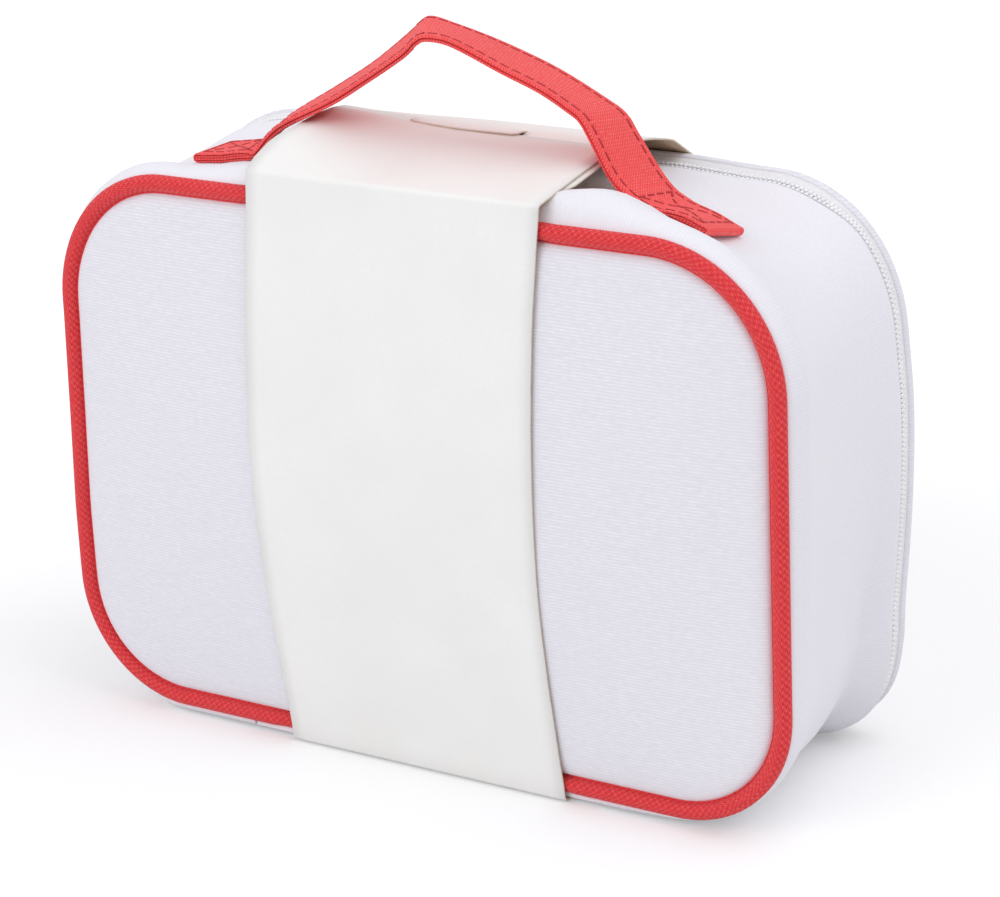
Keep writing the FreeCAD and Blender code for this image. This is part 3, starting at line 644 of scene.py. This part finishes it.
liner = {"depths": [-35.4, -20, -5, 10, 18, 20, 22, 25.2], "outer": 1.0, "inner": 0.4}
section = [(liner["outer"], depth) for depth in liner["depths"]]
section += [(liner["inner"], depth) for depth in reversed(liner["depths"])]
bm = bmesh.new()
sweepRound(bm, section, closed=True, step=6.0, turns=14)
roundUv(bm)
soften(bm)
piece = makePiece("wallLining", bm, liningWall, "case", ["gusset_lining"])
print("walls made")


# the padded back panel and the lid

crownShape = {"across": 3.5, "upward": 1.4}  # powers: flat-topped across, rounder upward
flatSheet = {"step": 9.0, "turns": 10}


def dome(x, z, panel):
    # the share of the crown at a point
    across = max(0.0, 1 - abs(x/panel["half"])**crownShape["across"])
    upward = max(0.0, 1 - ((z - panel["middle"])/panel["reach"])**2)**crownShape["upward"]
    return across*upward


def panelMesh(rim, step=5.0, turns=16):
    # a rim that is swept round the outline and filled on both sides
    bm = bmesh.new()
    sweepRound(bm, rim, step=step, turns=turns)
    weld(bm)
    fillEnds(bm)
    return bm


backPanel = {
    "rim": [(-30, -35.5), (-12, -35.5), (-3.4, -35.6), (-2.8, -36.2), (-2.75, -37.2), (-3, -38.1),
            (-3.7, -38.8), (-5, -39.25), (-7, -39.6), (-12, -39.8), (-20, -39.9), (-30, -39.9)],
    "outer": -38.6, "crown": 7.0, "half": 115, "middle": 83.4, "reach": 78, "spacing": 7.0,
    "swell": 0.35, "swellSize": 45}
bm = panelMesh(backPanel["rim"])
cutGrid(bm, backPanel["spacing"])
for vert in bm.verts:
    x, y, z = vert.co/mm
    if y < backPanel["outer"]:
        swell = noise.noise(Vector((x, 0, z))/backPanel["swellSize"])*backPanel["swell"]
        vert.co.y -= (backPanel["crown"] + swell)*dome(x, z, backPanel)*mm
leanAll(bm)
makePiece("backCover", bm, panelCloth, "case", ["back_panel"])

lidPanel = {
    "rim": [(-30, 37.75), (-12, 37.75), (-1, 37.75), (0.9, 37.9), (1.5, 38.6), (1.6, 39.6), (1.3, 40.8),
            (0.5, 41.8), (-0.8, 42.5), (-3, 42.75), (-8, 42.8), (-18, 42.8), (-30, 42.8)],
    "outer": 42.6, "crown": 3.3, "half": 112, "middle": 83.4, "reach": 76, "spacing": 7.0}
bm = panelMesh(lidPanel["rim"])
cutGrid(bm, lidPanel["spacing"])
for vert in bm.verts:
    x, y, z = vert.co/mm
    if y > lidPanel["outer"]:
        vert.co.y += lidPanel["crown"]*dome(x, z, lidPanel)*mm
slumpAll(bm)
makePiece("lidCover", bm, panelCloth, "lid", ["lid_panel"])

# the lid's board follows the shifted rim, so that the lining and the binding hide its edge
lidBoard = {"rim": [(-30, 37.65), (-6.3, 37.65), (-6, 37.4), (-6, 36.5), (-6.3, 36.25), (-30, 36.25)]}
bm = panelMesh(lidBoard["rim"], **flatSheet)
slumpAll(bm)
makePiece("lidBoard", bm, greyBoard, "lid", ["lid_stiffener_board"])

# each lining's depth outside and inside, the way that it swells, and what it lies on
linings = {
    "case": ("backLiner", "back_lining", -33.95, -33.15, 1.0, "back_stiffener_board"),
    "lid": ("lidLiner", "lid_lining", 36.15, 35.45, -1.0, "lidBoard")}
lining = {"edge": -4.4, "flat": -4.9, "spacing": 9.0, "calm": -10, "swell": 0.25, "wave": 0.3, "waveSize": 26}
for body, (name, node, outer, inner, way, board) in linings.items():
    rim = [(-30, outer), (lining["flat"], outer), (lining["edge"], (outer + inner)/2),
           (lining["flat"], inner), (-30, inner)]
    bm = panelMesh(rim, **flatSheet)
    cutGrid(bm, lining["spacing"])
    for vert in bm.verts:
        x, y, z = vert.co/mm
        if abs(y - inner) < 0.05 and offLine(x, z)[0] < lining["calm"]:
            wave = lining["wave"]*noise.noise(Vector((x, 7, z))/lining["waveSize"])
            vert.co.y += way*(lining["swell"] + wave)*mm
    if body == "lid":
        slumpAll(bm)
    piece = makePiece(name, bm, liningCloth, body, [node])

bindings = {
    "case": ("backBinding", "back_seam_binding",
             [(0.35, -35.35), (0.35, -34.9), (-0.9, -34.3), (-4.4, -34.2), (-5.1, -34.5), (-5.1, -35.3)]),
    "lid": ("lidBinding", "lid_seam_binding",
            [(-0.7, 37.6), (-0.7, 36.9), (-1.3, 36.5), (-4.4, 36.5), (-5.1, 36.8), (-5.1, 37.6)])}
for body, (name, node, section) in bindings.items():
    bm = bmesh.new()
    sweepRound(bm, section, closed=True, step=8.0, turns=12)
    roundUv(bm)
    if body == "lid":
        slumpAll(bm)
    else:
        leanAll(bm)
    makePiece(name, bm, tapeCloth, body, [node])
print("panels made")


# red piping, pressed in a little where the card band crosses it

# its flange is the cloth that is sewn in beside the panel
piping = {"radius": 2.4, "depth": -38.0, "points": 14, "press": 0.7, "pressAcross": (52, 46),
          "flange": [(-3.2, -38), (-2.1, -38.15), (-2.1, -37.8), (-3.2, -37.7)]}
cord = []
for i in range(piping["points"]):
    turn = 2*math.pi*i/piping["points"]
    cord.append((piping["radius"]*math.sin(turn), piping["depth"] - piping["radius"]*math.cos(turn)))
bm = bmesh.new()
for section in (cord, piping["flange"]):
    sweepRound(bm, section, closed=True, step=4.0, turns=24)
weld(bm)


def roundPipe(x, y, z):
    return math.atan2(offLine(x, z)[0], y - piping["depth"])*piping["radius"]


roundUv(bm, roundPipe, 2*math.pi*piping["radius"])
for vert in bm.verts:
    vert.co.y += piping["press"]*ramp(abs(vert.co.x/mm), *piping["pressAcross"])*mm
leanAll(bm)
makePiece("redPiping", bm, pipingClothPaintedShade, "case", ["back_piping"])
print("piping made")


# zip: two tapes and two rows of teeth that mesh, all led round the outline

zipper = {"start": 58.8, "lead": 1.0, "pitch": 1.4, "toothLong": 1.2, "toothWide": 1.7, "toothHigh": 0.7,
          "bevel": 0.22}
tapes = {
    "case": ("zipTapeCase", "zip_tape_case", [
        (0.95, 25.4), (0.95, 29), (0.9, 33), (0.85, 34.2), (0.6, 34.4), (0.3, 34.2), (0.3, 29), (0.3, 25.4)]),
    "lid": ("zipTapeLid", "zip_tape_lid", [
        (0.95, 37.6), (0.9, 36), (0.85, 34.8), (0.6, 34.6), (0.3, 34.8), (0.3, 37.6)])}
for body, (name, node, section) in tapes.items():
    bm = bmesh.new()
    sweepRound(bm, section, start=zipper["start"], closed=True, step=5.0, turns=18)
    fillEnds(bm)
    roundUv(bm)
    soften(bm)
    makePiece(name, bm, tapeCloth, body, [node])

# each row's depth and its shift along the zip, in pitches
teeth = {"case": ("zipTeethCase", "zip_teeth_case", 33.95, 0.0),
         "lid": ("zipTeethLid", "zip_teeth_lid", 35.05, 0.5)}
half = alongLine(0, caseLine["high"])
for body, (name, node, depth, shift) in teeth.items():
    bm = bmesh.new()
    count = int((2*half - 2*zipper["start"] - 2*zipper["lead"])/zipper["pitch"])
    for i in range(count):
        length = zipper["start"] + zipper["lead"] + (i + shift)*zipper["pitch"]
        side = 1.0 if length <= half else -1.0
        x, z, outX, outZ = pointAlong(length if side > 0 else 2*half - length)
        x, outX = side*x, side*outX
        out = Vector((outX, 0, outZ))
        middle = Vector(softPlace(x + outX, depth, z + outZ))
        along = Vector((0, 1, 0)).cross(out)
        place = Matrix((along*zipper["toothLong"], Vector((0, zipper["toothWide"], 0)),
                        out*zipper["toothHigh"])).transposed().to_4x4()
        bmesh.ops.create_cube(bm, size=mm, matrix=Matrix.Translation(middle*mm) @ place)
    bevelAll(bm, zipper["bevel"])
    makePiece(name, bm, nylonCoil, body, [node], sharp=70)

# the cloth hinge, a flat strip between its near and far edges
hinge = {"half": 58.2, "near": 30.9, "far": 38.1, "high": 2.6, "thick": 0.7, "cells": (24, 12)}
place = Matrix.Translation((0, (hinge["near"] + hinge["far"])/2*mm, hinge["high"]*mm))
place @= Matrix.Diagonal((2*hinge["half"]*mm, (hinge["far"] - hinge["near"])*mm, 1, 1))
bm = bmesh.new()
bmesh.ops.create_grid(bm, x_segments=hinge["cells"][0], y_segments=hinge["cells"][1], size=0.5, matrix=place)
bmesh.ops.recalc_face_normals(bm, faces=bm.faces[:])
bmesh.ops.solidify(bm, geom=bm.faces[:], thickness=hinge["thick"]*mm)
flatUv(bm)
piece = makePiece("clothHinge", bm, wallClothPaintedLight, None, ["hinge_strip"])
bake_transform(piece)
print("zip made")


# strap handle: one folded band from end to end, its two ends turned under and sewn flat

strap = {
    "near": -14.5, "far": 5.5, "half": 10, "thick": 2.1, "steps": 4, "pressed": 0.68, "pressedTo": (1.8, 3.2),
    "turnUnder": (2.4, 1.4), "turnSteps": 8, "foldSteps": 6, "slack": 0.05, "sewnLeft": (3.2, 1.8),
    "sewnRight": (-1.9, -0.6), "settles": (-0.1, 0.6), "nudge": 0.05,
    "stations": [  # x and height of the near edge, then of the far edge
        (-84, 161.6, -86, 159.6), (-74.8, 163.6, -79.6, 163.2), (-66.2, 165.3, -73.6, 165.4),
        (-62, 168.2, -68.6, 169.8), (-53.9, 175.6, -61, 175.3), (-36, 184.3, -45, 184.6),
        (-24.5, 191, -32, 192.6), (-10.5, 199.8, -20, 201.6), (-6.2, 203.6, -15.5, 205.4),
        (-2.6, 205.4, -12.5, 206.2), (4, 205.2, -6, 204.8), (11, 203, 4, 202.4),
        (22, 198.6, 15, 199.2), (33.8, 194.3, 28, 194.6), (43, 189.5, 42, 188),
        (46.4, 187, 48.4, 184.3), (49.8, 181.5, 52, 179.2), (54.6, 172.8, 58.2, 170.3),
        (59.6, 168, 62.4, 165.5), (64.5, 165.5, 66.8, 163), (74.2, 162.3, 74.5, 159.6),
        (82.4, 159.4, 82.4, 156.6)],
    "section": [
        (-9.6, 1), (-9.95, 0.75), (-10, 0.25), (-8.9, 0), (-10, -0.3), (-9.95, -0.75), (-9.6, -1),
        (-8.8, -1.05), (-7.8, -0.9), (-6.8, -1.05), (-3, -1.05), (3, -1.05), (6.8, -1.05), (7.8, -0.9),
        (8.8, -1.05), (9.6, -1), (9.95, -0.75), (10, -0.4), (9.65, 0), (10, 0.4), (9.95, 0.75),
        (9.6, 1), (8.8, 1.05), (7.8, 0.9), (6.8, 1.05), (3, 1.05), (-3, 1.05), (-6.8, 1.05),
        (-7.8, 0.9), (-8.8, 1.05)]}
lastStation = len(strap["stations"]) - 1
layerThick = strap["thick"]*strap["pressed"]  # the sewn ends are pressed thinner
lowLayer = layerThick*0.5 + strap["slack"]
topLayer = layerThick*1.5 + 2*strap["slack"]


def between(rows, place):
    # a smooth curve through the rows
    i = min(int(place), len(rows) - 2)
    part = place - i
    a, b, c, d = (rows[min(max(j, 0), len(rows) - 1)] for j in (i - 1, i, i + 1, i + 2))
    return [0.5*(2*q + (r - p)*part + (2*p - 5*q + 4*r - s)*part**2 + (3*q - p - 3*r + s)*part**3)
            for p, q, r, s in zip(a, b, c, d)]


def wallHeight(x, y):
    # looked down on from well above the wall
    hit = gussetTree.ray_cast(Vector((x, y, 190))*mm, Vector((0, 0, -1)))[0]
    return hit.z/mm


def strapEdges(place, lift):
    # the near and far points of the strap's middle; its sewn ends lie on the wall, lift above it
    nearX, nearZ, farX, farZ = between(strap["stations"], place)
    sewn = max(ramp(place, *strap["sewnLeft"]), ramp(place - lastStation, *strap["sewnRight"]))
    if lift > lowLayer:  # the upper layer comes down to the wall where nothing is turned under it
        inward = min(place, lastStation - place)
        beyond = inward - strap["turnUnder"][place > lastStation/2]
        lift += (lowLayer - lift)*ramp(beyond, *strap["settles"])
    if sewn > 0:
        nearZ += sewn*(wallHeight(nearX, strap["near"]) + lift - nearZ)
        farZ += sewn*(wallHeight(farX, strap["far"]) + lift - farZ)
    return Vector((nearX, strap["near"], nearZ)), Vector((farX, strap["far"], farZ))


def strapFrame(place, lift):
    near, far = strapEdges(place, lift)
    before = strapEdges(max(place - strap["nudge"], 0), lift)
    after = strapEdges(min(place + strap["nudge"], lastStation), lift)
    along = (after[0] + after[1] - before[0] - before[1]).normalized()
    across = (far - near).normalized()
    return near, far, along, along.cross(across).normalized()


def pressedAt(place):
    # how much of its thickness the strap keeps
    inward = min(place, lastStation - place)
    return strap["pressed"] + (1 - strap["pressed"])*ramp(inward, *strap["pressedTo"])


def foldStop(place, side, i):
    # one step of the fold at an end, where the lower layer turns up into the upper one
    near, far, along, out = strapFrame(place, lowLayer)
    bend = math.pi*i/strap["foldSteps"]
    move = side*along*math.sin(bend)*layerThick*0.5
    move += out*(1 - math.cos(bend))*(layerThick*0.5 + strap["slack"]/2)
    return near + move, far + move, -out*math.cos(bend) + side*along*math.sin(bend), strap["pressed"]


def turnedStop(place):
    near, far, along, out = strapFrame(place, lowLayer)
    return near, far, -out, strap["pressed"]


def stopAt(place):
    near, far, along, out = strapFrame(place, topLayer)
    return near, far, out, pressedAt(place)


# from the left end's lower layer, round its fold, over the top and round the right end's fold
turnSteps, foldSteps = strap["turnSteps"], strap["foldSteps"]
path = [turnedStop(strap["turnUnder"][0]*(1 - i/turnSteps)) for i in range(turnSteps + 1)]
path += [foldStop(0, -1, i) for i in range(1, foldSteps)]
path += [stopAt(i/strap["steps"]) for i in range(lastStation*strap["steps"] + 1)]
path += [foldStop(lastStation, 1, i) for i in range(foldSteps - 1, 0, -1)]
path += [turnedStop(lastStation - strap["turnUnder"][1]*i/turnSteps) for i in range(turnSteps + 1)]


def strapPoint(stop, across, height):
    near, far, out, share = stop
    return near + (far - near)*(across + strap["half"])/(2*strap["half"]) + out*height*share


def mateOf(vert, rows):
    # the vertex of the last row that this one was drawn from
    return next(edge.other_vert(vert) for edge in vert.link_edges if edge.other_vert(vert) in rows)


bm = bmesh.new()
layer = bm.loops.layers.uv.new("cloth")
ring, hoop = addLine(bm, [strapPoint(path[0], *spot)*mm for spot in strap["section"]], True)
bm.faces.new(ring)
count = len(strap["section"])
lengths = [0.0]
for before, after in zip(path, path[1:]):
    lengths.append(lengths[-1] + ((after[0] + after[1] - before[0] - before[1])/2).length)
girths = [0.0]
for before, after in zip(strap["section"], strap["section"][1:] + strap["section"][:1]):
    girths.append(girths[-1] + math.hypot(after[0] - before[0], after[1] - before[1]))
for i in range(1, len(path)):
    made = bmesh.ops.extrude_edge_only(bm, edges=hoop)["geom"]
    rows = {vert: j for j, vert in enumerate(ring)}
    follow = {}
    for face in only(bmesh.types.BMFace, made):
        for vert in face.verts:
            if vert not in rows:
                follow[rows[mateOf(vert, rows)]] = vert
        wraps = {rows[vert] for vert in face.verts if vert in rows} == {0, count - 1}
        for corner in face.loops:
            old = corner.vert in rows
            j = rows[corner.vert if old else mateOf(corner.vert, rows)]
            j = count if wraps and j == 0 else j
            corner[layer].uv = (lengths[i - 1 if old else i]*mm, girths[j]*mm)
    ring = [follow[j] for j in range(count)]
    for j, vert in enumerate(ring):
        vert.co = strapPoint(path[i], *strap["section"][j])*mm
    hoop = [bm.edges.get(pair) for pair in zip(ring, ring[1:] + ring[:1])]
bm.faces.new(ring)
strapNodes = ["handle_end_left", "handle_end_right", "handle_leg_left", "handle_leg_right", "handle_grip"]
piece = makePiece("strapBand", bm, redCloth, None, strapNodes, sharp=60)
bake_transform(piece)

# places are counted in stations from each end
stitching = {"edge": 7.8, "cross": 7.0, "pitch": 4.0, "firstAt": 0.4, "dash": 2.9, "wide": 0.75, "high": 0.5,
             "bevel": 0.18, "level": 0.92, "boxLevel": 1.02, "margin": 0.25, "box": (2.0, 2.6),
             "underFrom": (2.6, 3.2), "perStation": 10, "fine": 1.5}


def sew(bm, line, height):
    # dashes along a line of (place, across) points on the strap
    points = []
    for (place, across), (nextPlace, nextAcross) in zip(line, line[1:]):
        steps = max(2, int(abs(nextPlace - place)*stitching["perStation"]),
                    int(abs(nextAcross - across)/stitching["fine"]))
        for k in range(steps):
            share = k/steps
            points.append((place + (nextPlace - place)*share, across + (nextAcross - across)*share))
    points.append(line[-1])
    spots = [(strapPoint(stopAt(place), across, height), stopAt(place)[2]) for place, across in points]
    travelled, due = 0.0, stitching["pitch"]*stitching["firstAt"]
    for (spot, out), after in zip(spots, spots[1:]):
        nextSpot = after[0]
        step = (nextSpot - spot).length
        while travelled + step >= due:
            share = (due - travelled)/step
            middle = spot.lerp(nextSpot, share)
            along = (nextSpot - spot).normalized()
            up = (out - along*out.dot(along)).normalized()
            side = up.cross(along)
            place = Matrix((along*stitching["dash"], side*stitching["wide"],
                            up*stitching["high"])).transposed().to_4x4()
            bmesh.ops.create_cube(bm, size=mm, matrix=Matrix.Translation(middle*mm) @ place)
            due += stitching["pitch"]
        travelled += step


edge, cross, margin = stitching["edge"], stitching["cross"], stitching["margin"]
bm = bmesh.new()
for across in (-edge, edge):
    sew(bm, [(margin, across), (lastStation - margin, across)], stitching["level"])
    sew(bm, [(stitching["underFrom"][0], across), (lastStation - stitching["underFrom"][1], across)],
        -stitching["level"])
boxes = ((stitching["box"][0], margin), (lastStation - stitching["box"][1], lastStation - margin))
for inner, outer in boxes:
    for line in ([(inner, -edge), (inner, edge)], [(outer, -edge), (outer, edge)],
                 [(inner, -cross), (outer, cross)], [(inner, cross), (outer, -cross)]):
        sew(bm, line, stitching["boxLevel"])
bevelAll(bm, stitching["bevel"])
piece = makePiece("strapStitches", bm, redThreadPaintedShade, None, (), sharp=70)
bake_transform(piece)
print("strap made")


# card band: plain white card, wrapped round the middle

# left and right: how far each edge has shifted, (height, mm)
card = {
    "half": 47.5, "thick": 0.5, "step": 5.0, "bowBack": 7.1, "bowFront": 4.6, "middle": 85,
    "topFrom": 168, "riseAcross": (-3, -47), "skew": 0.06, "skewDepths": (-8, 5),
    "leftRise": [(-42, 0), (-40, 0.3), (-36, 1.9), (-30, 3.3), (-26, 3.7), (-20, 3.3), (-12, 2.9),
                 (0, 2.75), (5, 2.2), (9, 1.4), (17.5, -0.1), (22, -0.5), (30.5, -0.75), (36, -0.4),
                 (42, 0)],
    "left": [(0, 4.3), (10, 3.8), (30, 2.7), (60, 1.6), (100, 0.9), (170, 0.9)],
    "right": [(0, 2.2), (13, 1.2), (35, 0.4), (60, -0.2), (140, -0.35), (160, 0.4), (170, 1.1)]}


def cardWall(face, bow, low, high, steps):
    rows = []
    for i in range(steps + 1):
        z = low + (high - low)*i/steps
        rows.append((face + bow*(1 - ((z - card["middle"])/card["middle"])**2)**1.5, z))
    return rows


backPath = [(34.3, 0), (24, 0), (12, 0), (0, 0), (-12, 0), (-24, 0), (-34, 0), (-39.2, 0.05), (-40.3, 0.35),
            (-40.8, 1.2)]
backPath += cardWall(-40.6, -card["bowBack"], 6, 167.4, 32)
backPath += [
    (-40.65, 168.7), (-40.62, 169.5), (-40.5, 170.05), (-40.15, 170.45), (-39.6, 170.7), (-38.6, 170.9),
    (-36.2, 171.3), (-33, 171.85), (-29.4, 172.5), (-25, 173.2), (-20, 174), (-15, 174.8),
    (-10, 175.5), (-5, 176), (0, 176.15), (5, 176.05)]
frontPath = [(34.7, 0), (38.5, 0), (42.3, 0.05), (43.1, 0.4), (43.5, 1.3)]
frontPath += cardWall(43.3, card["bowFront"], 6, 162, 31)
frontPath += [
    (43.35, 163.6), (43.3, 164.3), (43, 164.8), (42.3, 165.3), (38, 168), (33.4, 170.9), (32.2, 171.5),
    (30.5, 172.05), (26.5, 173.1), (22, 174.2), (17.5, 175.05), (13, 175.7), (9, 176.05)]
# what follows the front path: left and right edge, then rows of depth, height, how far the corners are
# drawn in and how far the right edge is led out
flaps = [
    (-47.5, -20.8, [(5, 175.55, 0, 0), (2, 175.3, 0, 0), (-5, 175.15, 0, 0), (-12, 174.3, 2, 0)]),
    (-20.8, 14.7, [(6.4, 176.58, 0, 0), (3.4, 176.66, 0, 0), (2.6, 176.64, 1.5, 0)]),
    (14.7, 47.5, [(5, 175.55, 0, 1.2), (2, 175.3, 0, 1.2), (-5, 175.15, 0, 0), (-12, 174.3, 0, 0),
                  (-24, 172.4, 0, 0), (-30, 171.2, 2, 0)])]


def leadOn(bm, start, left, right, rows):
    # carries one flap on from the sheet's end, row by row
    rim = [edge for edge in bm.edges if edge.is_boundary and all(
        abs(vert.co.y/mm - start) < 0.01 and left - 0.1 < vert.co.x/mm < right + 0.1 for vert in edge.verts)]
    for depth, height, drawIn, ledOut in rows:
        made = bmesh.ops.extrude_edge_only(bm, edges=rim)["geom"]
        fresh = set(only(bmesh.types.BMVert, made))
        for vert in fresh:
            share = 2*(vert.co.x/mm - left)/(right - left) - 1
            vert.co = (vert.co.x - share*drawIn*mm + max(share, 0)*ledOut*mm, depth*mm, height*mm)
        rim = [edge for edge in only(bmesh.types.BMEdge, made) if fresh.issuperset(edge.verts)]


def cardSheet(name, path, body, node, led=()):
    bm = bmesh.new()
    ring, chain = addLine(bm, [(-card["half"]*mm, y*mm, z*mm) for y, z in path], False)
    steps = round(2*card["half"]/card["step"])
    drawOut(bm, ring + chain, (2*card["half"]*mm/steps, 0, 0), steps)
    weld(bm)
    for left, right, rows in led[:-1]:
        bmesh.ops.bisect_plane(bm, geom=bm.verts[:] + bm.edges[:] + bm.faces[:], dist=1e-7,
                               plane_co=(right*mm, 0, 0), plane_no=(1, 0, 0))
    for left, right, rows in led:
        leadOn(bm, path[-1][0], left, right, rows)
    for vert in bm.verts:
        x, y, z = vert.co/mm
        if z > card["topFrom"]:
            vert.co.z += reading(card["leftRise"], y)*ramp(x, *card["riseAcross"])*mm
            if not led:
                vert.co.y -= card["skew"]*x*ramp(y, *card["skewDepths"])*mm
        if not led:
            share = (x + card["half"])/(2*card["half"])
            vert.co.x += (reading(card["left"], z)*(1 - share) + reading(card["right"], z)*share)*mm
    bmesh.ops.recalc_face_normals(bm, faces=bm.faces[:])
    middle = Vector((0, 0, card["middle"]*mm))
    outward = sum((face.calc_center_median() - middle).dot(face.normal)*face.calc_area() for face in bm.faces)
    if outward < 0:
        bmesh.ops.reverse_faces(bm, faces=bm.faces[:])
    piece = addMesh(name, bm, (whiteCard, kraftCard, cutBoard), 60)
    thick = piece.modifiers.new("cardThickness", "SOLIDIFY")
    thick.thickness, thick.offset = card["thick"]*mm, -1.0
    thick.material_offset, thick.material_offset_rim = 1, 2
    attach(piece, body)
    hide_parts(node)


cardSheet("cardBack", backPath, "case", "sleeve_back")
cardSheet("cardFront", frontPath, "lid", "sleeve_front", flaps)
print("card band made")
